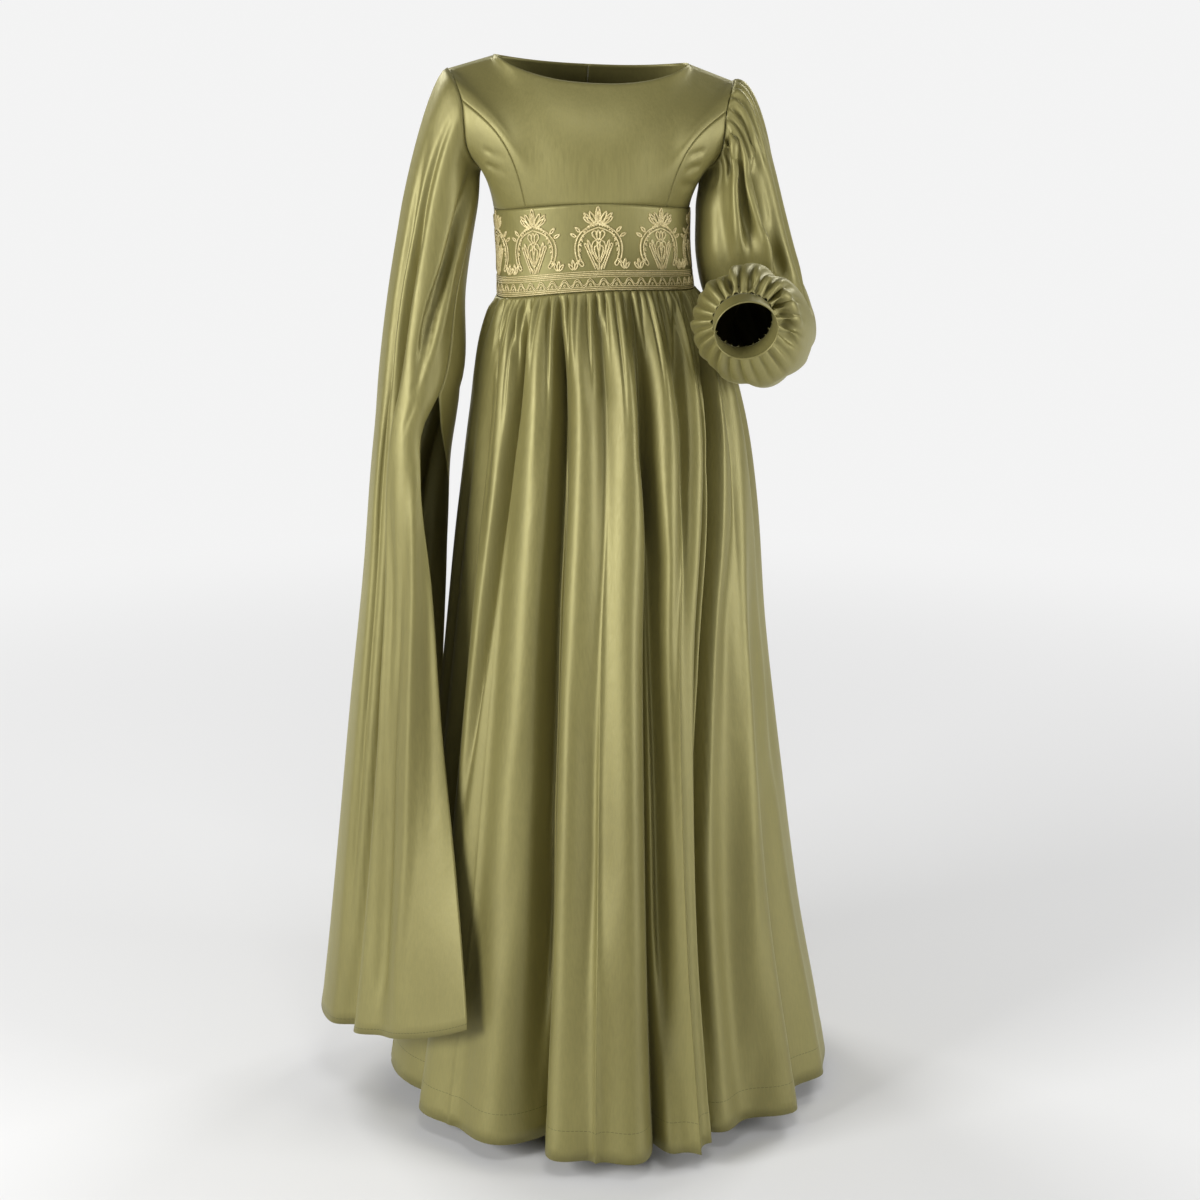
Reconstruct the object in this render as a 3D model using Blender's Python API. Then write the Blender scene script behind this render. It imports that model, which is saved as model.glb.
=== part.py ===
"""Long gathered dress in satin, kept in the hollow form of a worn garment.

The wearer faces -Y and the wearer's left is +X. The origin is midway between
the shoulders. The right sleeve is a long open one, the left a gathered one.
Units are metres.
"""

import math
from collections import namedtuple

import bmesh
import bpy
import numpy as np

# Cloth and seams
CLOTH = 0.0015
SEAM_GAP = 0.0003

# Neck and shoulders
NECK_HALF_WIDTH = 0.133
NECK_SIDE_Z = 0.004
NECK_FRONT_Y, NECK_FRONT_Z = -0.065, -0.0225
NECK_BACK_Y, NECK_BACK_Z = 0.058, -0.006
SHOULDER_HALF_WIDTH = 0.1943
SHOULDER_Z = -0.0165

# Armhole: angle 0 is the shoulder end, 90 the front, 180 the armpit
ARMHOLE_STATIONS = 24
Armhole = namedtuple("Armhole", "angle x y z")
ARMHOLE = (
    Armhole(-30, 0.1885, 0.034, -0.0250),
    Armhole(0, SHOULDER_HALF_WIDTH, 0.000, SHOULDER_Z),
    Armhole(30, 0.1870, -0.034, -0.0270),
    Armhole(60, 0.1780, -0.055, -0.0530),
    Armhole(90, 0.1750, -0.061, -0.0840),
    Armhole(120, 0.1710, -0.054, -0.1120),
    Armhole(150, 0.1600, -0.033, -0.1330),
    Armhole(180, 0.1455, 0.000, -0.1440),
    Armhole(210, 0.1570, 0.034, -0.1340),
    Armhole(240, 0.1660, 0.056, -0.1120),
    Armhole(270, 0.1710, 0.062, -0.0820),
    Armhole(300, 0.1770, 0.055, -0.0500),
    Armhole(330, 0.1885, 0.034, -0.0250),
    Armhole(360, SHOULDER_HALF_WIDTH, 0.000, SHOULDER_Z),
    Armhole(390, 0.1870, -0.034, -0.0270),
)

# Waistband, from under the bust down to the waist
BAND_TOP_Z, BAND_TOP_ARCH = -0.1945, 0.0175
WAIST_Z, WAIST_ARCH = -0.3105, 0.0155
HEM_Z = -1.455

Ring = namedtuple("Ring", "level half_width front back")
BAND_RINGS = (
    Ring(0.0, 0.1340, 0.115, 0.100),
    Ring(0.5, 0.1325, 0.108, 0.096),
    Ring(1.0, 0.1355, 0.105, 0.095),
)

# How the figure stands: sideways shift of each level, and its slope across
Posture = namedtuple("Posture", "z shift slope")
POSTURE = (
    Posture(-1.455, 0.0235, 0.000),
    Posture(-0.800, 0.0205, 0.000),
    Posture(-0.450, 0.0195, 0.018),
    Posture(-0.310, 0.0055, 0.033),
    Posture(-0.190, 0.0000, 0.000),
    Posture(-0.060, 0.0000, -0.050),
    Posture(0.020, 0.0000, -0.050),
)

# Columns of the bodice, counted from the centre line to the side seam.
# Each is a curve from the waistband to the neck, shoulder or armhole, and low
# and high are its two handles.
NECK_COLUMN, SHOULDER_COLUMN, PRINCESS_COLUMN, SIDE_COLUMN = 6, 8, 12, 20
BODICE_ROWS = 9
Column = namedtuple("Column", "column foot_angle low high")
FRONT_COLUMNS = (
    Column(0, 0.0, (0.0000, -0.133, -0.127), (0.0000, -0.112, -0.052)),
    Column(3, 11.0, (0.0310, -0.133, -0.127), (0.0530, -0.110, -0.049)),
    Column(6, 22.0, (0.0600, -0.132, -0.128), (0.1010, -0.102, -0.040)),
    Column(8, 29.0, (0.0750, -0.131, -0.128), (0.1240, -0.097, -0.043)),
    Column(12, 45.0, (0.0990, -0.126, -0.117), (0.1180, -0.104, -0.069)),
    Column(16, 67.0, (0.1330, -0.068, -0.157), (0.1500, -0.076, -0.125)),
    Column(20, 90.0, (0.1365, 0.000, -0.177), (0.1410, 0.000, -0.161)),
)
BACK_COLUMNS = (
    Column(0, 0.0, (0.0000, 0.116, -0.145), (0.0000, 0.104, -0.050)),
    Column(3, 12.0, (0.0350, 0.116, -0.145), (0.0590, 0.103, -0.046)),
    Column(6, 24.0, (0.0690, 0.114, -0.145), (0.1120, 0.096, -0.036)),
    Column(8, 32.0, (0.0890, 0.108, -0.145), (0.1420, 0.090, -0.044)),
    Column(14, 61.0, (0.1330, 0.072, -0.150), (0.1600, 0.082, -0.106)),
    Column(20, 90.0, (0.1365, 0.000, -0.177), (0.1410, 0.000, -0.161)),
)

# Skirt: half width and depths at each drop below the waist
SkirtRing = namedtuple("SkirtRing", "drop half_width front back")
SKIRT_RINGS = (
    SkirtRing(0.000, 0.1365, 0.106, 0.096),
    SkirtRing(0.020, 0.1470, 0.117, 0.108),
    SkirtRing(0.055, 0.1630, 0.134, 0.126),
    SkirtRing(0.095, 0.1770, 0.150, 0.143),
    SkirtRing(0.165, 0.1930, 0.171, 0.166),
    SkirtRing(0.290, 0.2120, 0.201, 0.196),
    SkirtRing(0.475, 0.2310, 0.236, 0.230),
    SkirtRing(0.690, 0.2580, 0.276, 0.265),
    SkirtRing(0.905, 0.2870, 0.315, 0.300),
    SkirtRing(1.075, 0.3185, 0.345, 0.325),
    SkirtRing(1.145, 0.3300, 0.360, 0.335),
)
SKIRT_LEVELS = (0.0, 0.014, 0.035, 0.065, 0.11, 0.18, 0.28, 0.42, 0.58, 0.74, 0.88, 1.0)
SKIRT_GATHER_LEVELS = 4
HIP_LEVEL = 0.12

# Deep folds of the skirt. Angles run from the front towards the wearer's left.
# The swell is how far the cloth after the fold stands out, the lean is how
# many degrees the fold's root tucks sideways under its neighbour.
SkirtFold = namedtuple("SkirtFold", "waist hem hip_depth hem_depth lean swell")
SKIRT_FOLDS = (
    SkirtFold(-64, -67, 0.012, 0.040, 0, -0.004),
    SkirtFold(-45, -50, 0.012, 0.012, 0, -0.006),
    SkirtFold(-22, -26, 0.030, 0.085, 3, 0.000),
    SkirtFold(-1, -8, 0.020, 0.002, 0, 0.002),
    SkirtFold(19, 9, 0.026, 0.060, -1, -0.018),
    SkirtFold(37, 18, 0.018, 0.002, 0, -0.028),
    SkirtFold(54, 26, 0.028, 0.080, -3, -0.052),
    SkirtFold(68, 50, 0.018, 0.010, 0, -0.040),
    SkirtFold(81, 74, 0.014, 0.008, 0, -0.004),
    SkirtFold(99, 107, 0.018, 0.050, 0, 0.000),
    SkirtFold(121, 129, 0.026, 0.065, 2, 0.004),
    SkirtFold(144, 150, 0.020, 0.035, 0, -0.006),
    SkirtFold(169, 170, 0.026, 0.060, -1, 0.000),
    SkirtFold(191, 191, 0.018, 0.030, 0, -0.004),
    SkirtFold(214, 212, 0.026, 0.070, 3, 0.000),
    SkirtFold(232, 230, 0.016, 0.030, 0, -0.006),
    SkirtFold(249, 247, 0.018, 0.045, 0, -0.006),
)
GATHERS_PER_FOLD = 4
POINTS_PER_GATHER = 3
GATHER_HEIGHT = 0.0050
GATHER_FADE_LEVEL = 0.13
GATHER_UNEVENNESS = (1.0, 0.55, 0.85, 1.25, 0.7, 1.1, 0.6, 1.3, 0.8)

# Long open sleeve. At each height its front and back panels are two curves:
# out, fore, side and edge shape the front, back edge, inner, rear and out the
# back. Down to the slit both panels meet at their edges.
LongSleeve = namedtuple("LongSleeve", "z out fore side edge back_edge inner rear")
LONG_SLEEVE = (
    LongSleeve(-0.200, (-0.261, 0.012), (-0.262, -0.075), (-0.190, -0.092), (-0.160, -0.022),
               (-0.160, -0.022), (-0.140, 0.045), (-0.225, 0.115)),
    LongSleeve(-0.300, (-0.279, 0.015), (-0.281, -0.085), (-0.215, -0.110), (-0.186, -0.046),
               (-0.186, -0.046), (-0.137, 0.030), (-0.240, 0.135)),
    LongSleeve(-0.435, (-0.297, 0.020), (-0.300, -0.080), (-0.245, -0.118), (-0.213, -0.078),
               (-0.213, -0.078), (-0.120, 0.005), (-0.262, 0.150)),
    LongSleeve(-0.480, (-0.301, 0.021), (-0.304, -0.078), (-0.262, -0.118), (-0.236, -0.088),
               (-0.212, -0.060), (-0.135, 0.020), (-0.270, 0.152)),
    LongSleeve(-0.550, (-0.309, 0.022), (-0.312, -0.075), (-0.272, -0.118), (-0.241, -0.102),
               (-0.203, -0.015), (-0.175, 0.060), (-0.285, 0.155)),
    LongSleeve(-0.700, (-0.323, 0.025), (-0.328, -0.080), (-0.272, -0.125), (-0.229, -0.113),
               (-0.204, 0.080), (-0.215, 0.130), (-0.315, 0.155)),
    LongSleeve(-0.900, (-0.347, 0.027), (-0.352, -0.090), (-0.278, -0.140), (-0.2185, -0.136),
               (-0.212, 0.145), (-0.245, 0.160), (-0.340, 0.150)),
    LongSleeve(-1.100, (-0.369, 0.029), (-0.374, -0.100), (-0.275, -0.158), (-0.203, -0.190),
               (-0.217, 0.190), (-0.270, 0.190), (-0.365, 0.145)),
    LongSleeve(-1.250, (-0.386, 0.030), (-0.391, -0.105), (-0.275, -0.180), (-0.1945, -0.248),
               (-0.220, 0.222), (-0.280, 0.215), (-0.385, 0.145)),
    LongSleeve(-1.400, (-0.405, 0.026), (-0.410, -0.110), (-0.275, -0.205), (-0.190, -0.295),
               (-0.222, 0.260), (-0.285, 0.240), (-0.405, 0.145)),
)
LONG_SLEEVE_HEM_Z, LONG_SLEEVE_HEM_RISE = -1.372, 0.080
SLIT_TOP_Z = -0.438
LONG_SLEEVE_HEAD_LEVELS = (0.0, 0.11, 0.32, 0.64)
TUBE_LEVELS = (0.0, 0.34, 0.68, 1.0)
OPEN_LEVELS = (0.07, 0.17, 0.31, 0.48, 0.66, 0.84, 1.0)

# Folds of the long sleeve: where each runs across its panel, from z to z
SleeveFold = namedtuple("SleeveFold", "panel top_z low_z top_share mid_share low_share width depth")
LONG_SLEEVE_FOLDS = (
    SleeveFold("front", -0.03, -1.80, 0.40, 0.40, 0.24, 0.050, 0.024),
    SleeveFold("front", -0.50, -1.80, 0.56, 0.53, 0.50, 0.070, 0.010),
    SleeveFold("front", -0.12, -0.44, 0.88, 0.80, 0.64, 0.065, 0.012),
    SleeveFold("back", -0.10, -1.80, 0.30, 0.35, 0.30, 0.065, 0.014),
    SleeveFold("back", -0.05, -1.80, 0.62, 0.60, 0.62, 0.065, 0.020),
    SleeveFold("back", -0.45, -1.80, 0.82, 0.82, 0.84, 0.055, 0.012),
)

# Gathered sleeve: sections along the bent arm. The bend is 0 where the arm
# hangs and 90 where it points forward, the yaw turns it towards +X.
FullSleeve = namedtuple("FullSleeve", "x y z bend yaw out inner fore rear")
FULL_SLEEVE = (
    FullSleeve(0.2050, -0.004, -0.200, 4, 0, 0.0605, 0.062, 0.080, 0.072),
    FullSleeve(0.2140, -0.004, -0.262, 12, 0, 0.0685, 0.070, 0.086, 0.078),
    FullSleeve(0.2290, -0.006, -0.318, 30, -4, 0.0730, 0.071, 0.080, 0.084),
    FullSleeve(0.2500, -0.032, -0.358, 56, -10, 0.0580, 0.058, 0.072, 0.078),
    FullSleeve(0.2330, -0.088, -0.352, 78, -16, 0.0630, 0.066, 0.080, 0.080),
    FullSleeve(0.2070, -0.143, -0.340, 84, -14, 0.0680, 0.080, 0.088, 0.084),
    FullSleeve(0.1900, -0.184, -0.325, 78, -6, 0.0600, 0.064, 0.070, 0.068),
    FullSleeve(0.1830, -0.2075, -0.319, 72, 2, 0.0400, 0.040, 0.040, 0.040),
)
FULL_SLEEVE_HEAD_LEVELS = (0.0, 0.08, 0.24, 0.46, 0.72)
FULL_SLEEVE_LEVELS = (0.0, 1.0, 2.0, 3.0, 4.0, 5.0, 5.7, 6.3, 7.0)
FULL_SLEEVE_THINNED = range(5, 10)
FullFold = namedtuple("FullFold", "top_angle low_angle start end width depth")
FULL_SLEEVE_FOLDS = (
    FullFold(20, 32, -0.9, 4.0, 9, 0.009),
    FullFold(50, 66, -0.9, 2.4, 9, 0.010),
    FullFold(88, 96, -0.9, 1.9, 10, 0.009),
    FullFold(70, 64, 3.4, 6.0, 10, 0.009),
    FullFold(112, 122, 3.5, 6.2, 10, 0.008),
    FullFold(128, 120, -0.6, 2.2, 10, 0.007),
    FullFold(218, 225, 0.2, 5.5, 11, 0.008),
    FullFold(268, 262, -0.9, 5.5, 10, 0.010),
    FullFold(305, 300, -0.9, 5.0, 10, 0.010),
    FullFold(338, 335, -0.9, 4.0, 9, 0.008),
)
# How a sleeve leaves the armhole: its turn out of the bodice's cloth in
# degrees and how far it keeps that way, at the shoulder and at the armpit.
HeadShape = namedtuple("HeadShape", "top_turn under_turn top_reach under_reach lift")
LONG_SLEEVE_HEAD = HeadShape(2, 80, 0.075, 0.030, 0.000)
FULL_SLEEVE_HEAD = HeadShape(12, 80, 0.085, 0.030, 0.050)
CHORD_PARTS_FULL, CHORD_PARTS_LONG = 3, 2

# Cuff of the gathered sleeve
CUFF_WIDTH = 0.030
CUFF_FLARE = 0.0025
CUFF_SIDES = 36

SATIN = (0.145, 0.126, 0.044, 1.0)
SATIN_SIDES = (0.153, 0.133, 0.047, 1.0)
BAND_GOLD = (0.235, 0.190, 0.080, 1.0)


def unit(vector):
    return vector / np.maximum(np.linalg.norm(vector, axis=-1, keepdims=True), 1e-12)


def smooth(value):
    """0 to 1 with level ends."""
    value = min(max(value, 0.0), 1.0)
    return value * value * (3.0 - 2.0 * value)


def mix(first, second, share):
    return first + (second - first) * share


def read_table(rows, key, at):
    """The row of the table at a value of its first column, on a smooth curve through its rows."""
    flat = np.array([np.concatenate([np.atleast_1d(cell) for cell in row if not isinstance(cell, str)])
                     for row in rows], float)
    knots = np.array([getattr(row, key) for row in rows], float)
    if knots[0] > knots[-1]:
        knots, flat = knots[::-1], flat[::-1]
    at = min(max(at, knots[0]), knots[-1])
    slopes = np.gradient(flat, knots, axis=0)
    i = min(int(np.searchsorted(knots, at, side="right")) - 1, len(knots) - 2)
    gap = knots[i + 1] - knots[i]
    t = (at - knots[i]) / gap
    low = (2 * t**3 - 3 * t**2 + 1) * flat[i] + (t**3 - 2 * t**2 + t) * gap * slopes[i]
    high = (3 * t**2 - 2 * t**3) * flat[i + 1] + (t**3 - t**2) * gap * slopes[i + 1]
    return low + high


def bezier(ends, t):
    """A point of the curve with four control points."""
    a, b, c, d = (np.asarray(end, float) for end in ends)
    return (1 - t)**3 * a + 3 * (1 - t)**2 * t * b + 3 * (1 - t) * t**2 * c + t**3 * d


def posed(points):
    """Moves points from the upright figure to the way that it stands."""
    points = np.array(points, float, order="C")
    for point in points.reshape(-1, 3):
        row = read_table(POSTURE, "z", point[2])
        point[2] += row[2] * point[0]
        point[0] += row[1]
    return points


def normals_of(rings, closed=False):
    """Wall directions on a grid whose columns run round to the wearer's left, longer where it folds sharply."""
    if closed:
        rings = np.concatenate([rings[:, -1:], rings, rings[:, :1]], axis=1)
    faces = unit(np.cross(rings[1:, 1:] - rings[:-1, :-1], rings[:-1, 1:] - rings[1:, :-1]))
    rows, columns = rings.shape[:2]
    total = np.zeros((rows, columns, 3))
    for down in (0, 1):
        for across in (0, 1):
            total[down:rows - 1 + down, across:columns - 1 + across] += faces
    normals = unit(total)
    least = np.ones((rows, columns))
    for down in (0, 1):
        for across in (0, 1):
            block = np.sum(normals[down:rows - 1 + down, across:columns - 1 + across] * faces, axis=-1)
            part = least[down:rows - 1 + down, across:columns - 1 + across]
            np.minimum(part, block, out=part)
    normals /= np.clip(least, 0.6, 1.0)[..., None]
    return normals[:, 1:-1] if closed else normals


def level_normals(normals):
    """The same directions with no up or down, for walls that meet at a level seam."""
    flat = normals.copy()
    flat[..., 2] = 0.0
    return unit(flat)


def inset(rings, amount=SEAM_GAP / 2, sides=True):
    """The grid drawn in from its edges, which leaves the gap at each seam."""
    rings = rings.copy()
    rings[0] += unit(rings[1] - rings[0]) * amount
    rings[-1] += unit(rings[-2] - rings[-1]) * amount
    if sides:
        rings[:, 0] += unit(rings[:, 1] - rings[:, 0]) * amount
        rings[:, -1] += unit(rings[:, -2] - rings[:, -1]) * amount
    return rings


def finish_of(name, colour, roughness):
    material = bpy.data.materials.new(name)
    material.use_nodes = True
    shader = material.node_tree.nodes["Principled BSDF"]
    shader.inputs["Base Color"].default_value = colour
    shader.inputs["Roughness"].default_value = roughness
    shader.inputs["Metallic"].default_value = 0.0
    return material


def sheet(name, rings, normals, closed=False, thinned=(), colour=SATIN, roughness=0.38):
    """A cloth wall as one closed solid. The grid is its outer face, and the inner face lies inside it.

    In the thinned rows every second column is drawn together with the one before it.
    """
    rows, columns = rings.shape[:2]
    width = columns + closed
    mesh = bmesh.new()
    bmesh.ops.create_grid(mesh, x_segments=width - 1, y_segments=rows - 1, size=1.0)
    station = mesh.verts.layers.int.new("station")
    mesh.verts.ensure_lookup_table()
    grid = list(mesh.verts)
    for index, vertex in enumerate(grid):
        row, column = divmod(index, width)
        vertex[station] = row * columns + column % columns
        vertex.co = rings[row, column % columns]
    joined = {}
    for row in range(rows):
        if closed:
            joined[grid[row * width + columns]] = grid[row * width]
        if row in thinned:
            for column in range(1, columns, 2):
                joined[grid[row * width + column]] = grid[row * width + column - 1]
    if joined:
        bmesh.ops.weld_verts(mesh, targetmap=joined)
    bmesh.ops.triangulate(mesh, faces=list(mesh.faces), quad_method="SHORT_EDGE")
    outer = list(mesh.faces)
    inner = bmesh.ops.extrude_face_region(mesh, geom=outer, use_keep_orig=True)
    for vertex in inner["geom"]:
        if isinstance(vertex, bmesh.types.BMVert):
            row, column = divmod(vertex[station], columns)
            vertex.co = rings[row, column] - CLOTH * normals[row, column]
    bmesh.ops.recalc_face_normals(mesh, faces=list(mesh.faces))
    data = bpy.data.meshes.new(name)
    mesh.to_mesh(data)
    mesh.free()
    data.shade_smooth()
    data.materials.append(finish_of(name, colour, roughness))
    wall = bpy.data.objects.new(name, data)
    bpy.context.scene.collection.objects.link(wall)
    return wall


def torso_ring(level, angle):
    """A point of the waistband, level 0 at its top and 1 at the waist. Angle 0 is the centre front."""
    _, half_width, front, back = read_table(BAND_RINGS, "level", level)
    turn = math.radians(angle)
    forward = max(math.cos(turn), 0.0) ** 2
    top = BAND_TOP_Z + BAND_TOP_ARCH * forward
    foot = WAIST_Z + WAIST_ARCH * forward
    depth = front if math.cos(turn) > 0 else back
    return np.array([half_width * math.sin(turn), -depth * math.cos(turn), mix(top, foot, level)])


def armhole(angle):
    """A point of the wearer's left armhole, before the posture."""
    return read_table(ARMHOLE, "angle", angle % 360.0)[1:]


def both_sides(table):
    """The rows of a table of columns, with the same ones on the other side of the centre line."""
    across = np.array([-1.0, 1.0, 1.0])
    other = [Column(-row.column, -row.foot_angle, row.low * across, row.high * across)
             for row in reversed(table[1:])]
    return tuple(other) + tuple(table)


def bodice_top(column, front):
    """Where a column of the bodice ends: on the neck, the shoulder seam or the armhole."""
    if column <= NECK_COLUMN:
        turn = math.radians(90.0 * column / NECK_COLUMN)
        y, z = (NECK_FRONT_Y, NECK_FRONT_Z) if front else (NECK_BACK_Y, NECK_BACK_Z)
        return np.array([NECK_HALF_WIDTH * math.sin(turn), y * max(math.cos(turn), 0.0) ** 0.85,
                         mix(z, NECK_SIDE_Z, math.sin(turn) ** 2.4)])
    if column <= SHOULDER_COLUMN:
        share = (column - NECK_COLUMN) / (SHOULDER_COLUMN - NECK_COLUMN)
        return np.array([mix(NECK_HALF_WIDTH, SHOULDER_HALF_WIDTH, share), 0.0,
                         mix(NECK_SIDE_Z, SHOULDER_Z, share)])
    step = 360.0 / ARMHOLE_STATIONS * (column - SHOULDER_COLUMN)
    return armhole(step if front else -step)


def bodice_half(front):
    """Rows of one half of the bodice, from the centre line to the side seam."""
    table = both_sides(FRONT_COLUMNS if front else BACK_COLUMNS)
    columns = []
    for column in range(SIDE_COLUMN + 1):
        row = read_table(table, "column", column)
        foot = torso_ring(0.0, row[1] if front else 180.0 - row[1])
        head = bodice_top(column, front)
        ends = (foot, row[2:5], row[5:8], head)
        columns.append([bezier(ends, 1.0 - step / BODICE_ROWS) for step in range(BODICE_ROWS + 1)])
    return np.array(columns).transpose(1, 0, 2)


def bodice_grid(front):
    """The whole front or back, rows from the neck down, columns towards the wearer's left seen from the front."""
    half = bodice_half(front)
    mirrored = half[:, :0:-1] * np.array([-1.0, 1.0, 1.0])
    whole = np.concatenate([mirrored, half], axis=1)
    rings = posed(whole)
    normals = normals_of(rings) * (1.0 if front else -1.0)
    normals[-1] = level_normals(normals[-1])
    normals[:, 0] = (-1.0, 0.0, 0.0)
    normals[:, -1] = (1.0, 0.0, 0.0)
    rise = unit(np.array([NECK_SIDE_Z - SHOULDER_Z, 0.0, SHOULDER_HALF_WIDTH - NECK_HALF_WIDTH]))
    for column in range(NECK_COLUMN, SHOULDER_COLUMN + 4):
        share = smooth(max(column - SHOULDER_COLUMN, 0) / 4)
        for side in (-1.0, 1.0):
            place = SIDE_COLUMN + int(side) * column
            normals[0, place] = unit(mix(rise * (side, 1.0, 1.0), unit(normals[0, place]), share))
    return rings, normals


def build_bodice():
    """Front in three panels with princess seams, back in two with a seam down its centre."""
    front, front_normals = bodice_grid(True)
    back, back_normals = bodice_grid(False)
    centre = slice(SIDE_COLUMN - PRINCESS_COLUMN, SIDE_COLUMN + PRINCESS_COLUMN + 1)
    right = slice(0, SIDE_COLUMN - PRINCESS_COLUMN + 1)
    left = slice(SIDE_COLUMN + PRINCESS_COLUMN, 2 * SIDE_COLUMN + 1)
    for name, part in (("bodice_front_centre", centre), ("bodice_side_front_right", right),
                       ("bodice_side_front_left", left)):
        colour = SATIN if part is centre else SATIN_SIDES
        sheet(name, inset(front[:, part]), front_normals[:, part], colour=colour)
    for name, part in (("bodice_back_right", slice(0, SIDE_COLUMN + 1)),
                       ("bodice_back_left", slice(SIDE_COLUMN, 2 * SIDE_COLUMN + 1))):
        sheet(name, inset(back[:, part]), back_normals[:, part])
    return front, front_normals, back, back_normals


def build_waistband():
    """Front in one piece, back in two, plain rings between the bust and the waist."""
    parts = (("waistband_front", -90, 90, 26), ("waistband_back_left", 90, 180, 12),
             ("waistband_back_right", 180, 270, 12))
    for name, start, end, steps in parts:
        angles = np.linspace(start, end, steps + 1)
        rings = posed([[torso_ring(level, angle) for angle in angles] for level in (0, 0.33, 0.67, 1)])
        sheet(name, inset(rings), level_normals(normals_of(rings)), colour=BAND_GOLD, roughness=0.5)


def gather_height(column):
    """How far a point of a gathered edge stands out, -1 where a stitch pulls it in."""
    uneven = GATHER_UNEVENNESS[column // POINTS_PER_GATHER % len(GATHER_UNEVENNESS)]
    step = (column + 1) % POINTS_PER_GATHER
    return uneven * (-1.0, 0.85, 0.45)[step]


def skirt_depth(fold, level):
    """How deep a fold is at a level of the skirt, 0 at the waist and 1 at the hem."""
    if level < HIP_LEVEL:
        start = 0.3 * smooth(level / 0.015) + 0.7 * smooth(level / HIP_LEVEL)
        return fold.hip_depth * start
    share = (level - HIP_LEVEL) / (1.0 - HIP_LEVEL)
    return mix(fold.hip_depth, fold.hem_depth, share ** (0.8 if fold.hem_depth > fold.hip_depth else 0.4))


def skirt_fold_angle(fold, level):
    return mix(fold.waist, fold.hem, 1.0 - (1.0 - level) ** 3)


def skirt_point(fold, following, share, gather, level):
    """A point between two folds: share 0 is the first fold's root, 0.5 the top of the cloth between."""
    start = skirt_fold_angle(fold, level)
    end = skirt_fold_angle(following, level)
    end += 360.0 if end < start else 0.0
    roundness = 0.35 * smooth(level / 0.25)
    spread = share - roundness * math.sin(2.0 * math.pi * share) / (2.0 * math.pi)
    crest = 0.45 * math.sin(math.pi * share) + 0.55 * math.sin(math.pi * share) ** 2
    depth = mix(skirt_depth(fold, level), skirt_depth(following, level), share) * (1.0 - crest)
    lean = mix(fold.lean, following.lean, share) * (1.0 - crest) * level
    angle = math.radians(mix(start, end, spread) + lean)
    _, half_width, front, back = read_table(SKIRT_RINGS, "drop", level * SKIRT_RINGS[-1].drop)
    gathered = GATHER_HEIGHT * gather * mix(0.3, 1.0, smooth(level / 0.014))
    gathered *= 1.0 - smooth(level / GATHER_FADE_LEVEL)
    out = gathered - depth + fold.swell * crest**2 * smooth(level)
    forward = max(math.cos(angle), 0.0) ** 2
    waist = WAIST_Z + WAIST_ARCH * forward
    reach = (front if math.cos(angle) > 0 else back) + out
    return np.array([(half_width + out) * math.sin(angle), -reach * math.cos(angle),
                     mix(waist, HEM_Z, level)])


def build_skirt():
    """Gathered skirt: one front and two back panels, whose seams run down the tops of three folds."""
    per_fold = GATHERS_PER_FOLD * POINTS_PER_GATHER
    count = len(SKIRT_FOLDS) * per_fold
    rings = np.zeros((len(SKIRT_LEVELS), count + 1, 3))
    for row, level in enumerate(SKIRT_LEVELS):
        for column in range(count + 1):
            fold = SKIRT_FOLDS[column // per_fold % len(SKIRT_FOLDS)]
            following = SKIRT_FOLDS[(column // per_fold + 1) % len(SKIRT_FOLDS)]
            gather = gather_height(column)
            rings[row, column] = skirt_point(fold, following, column % per_fold / per_fold, gather, level)
    rings = posed(rings)
    wrapped = np.concatenate([rings[:, -2:-1], rings, rings[:, 1:2]], axis=1)
    normals = normals_of(wrapped)[:, 1:-1]
    normals[0] = level_normals(normals[0])
    half = per_fold // 2
    left_side = 8 * per_fold + half
    centre_back = 12 * per_fold + half
    right_side = 16 * per_fold + half
    thinned = range(SKIRT_GATHER_LEVELS, len(SKIRT_LEVELS))
    round_again = np.concatenate([np.arange(right_side, count), np.arange(0, left_side + 1)])
    panels = (("skirt_front", round_again), ("skirt_back_left", np.arange(left_side, centre_back + 1)),
              ("skirt_back_right", np.arange(centre_back, right_side + 1)))
    for name, chosen in panels:
        sheet(name, inset(rings[:, chosen]), normals[:, chosen], thinned=thinned)


def armhole_seam(grids, side, parts):
    """The bodice's own armhole edge, finely divided: points, wall directions and the way out of the armhole."""
    front, front_normals, back, back_normals = grids
    reach = [SIDE_COLUMN + side * column for column in range(SHOULDER_COLUMN, SIDE_COLUMN + 1)]
    points = [front[0, column] for column in reach] + [back[0, column] for column in reach[-2:0:-1]]
    facing = [front_normals[0, column] for column in reach]
    facing += [back_normals[0, column] for column in reach[-2:0:-1]]
    points, facing = np.array(points), unit(np.array(facing))
    along = np.roll(points, -1, axis=0) - np.roll(points, 1, axis=0)
    way_out = unit(np.cross(facing, along)) * side
    split = []
    for column in range(len(points)):
        following = (column + 1) % len(points)
        for part in range(parts):
            share = part / parts
            split.append([mix(values[column], values[following], share) for values in (points, facing, way_out)])
    split = np.array(split)
    return split[:, 0], unit(split[:, 1]), unit(split[:, 2])


def sleeve_start(seam, facing, way_out, angle, shape):
    """The first point of a sleeve's column, its wall's outward direction and the way that it leaves."""
    top = 0.5 + 0.5 * math.cos(math.radians(angle))
    turn = math.radians(mix(shape.under_turn, shape.top_turn, top ** 0.7))
    leave = way_out * math.cos(turn) + facing * math.sin(turn)
    reach = leave * mix(shape.under_reach, shape.top_reach, top)
    reach = reach + np.array([0.0, 0.0, shape.lift * top ** 3])
    leave = unit(reach)
    normal = unit(facing - leave * (facing @ leave))
    return seam + leave * SEAM_GAP / 3 * math.sin(turn), normal, reach


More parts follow.
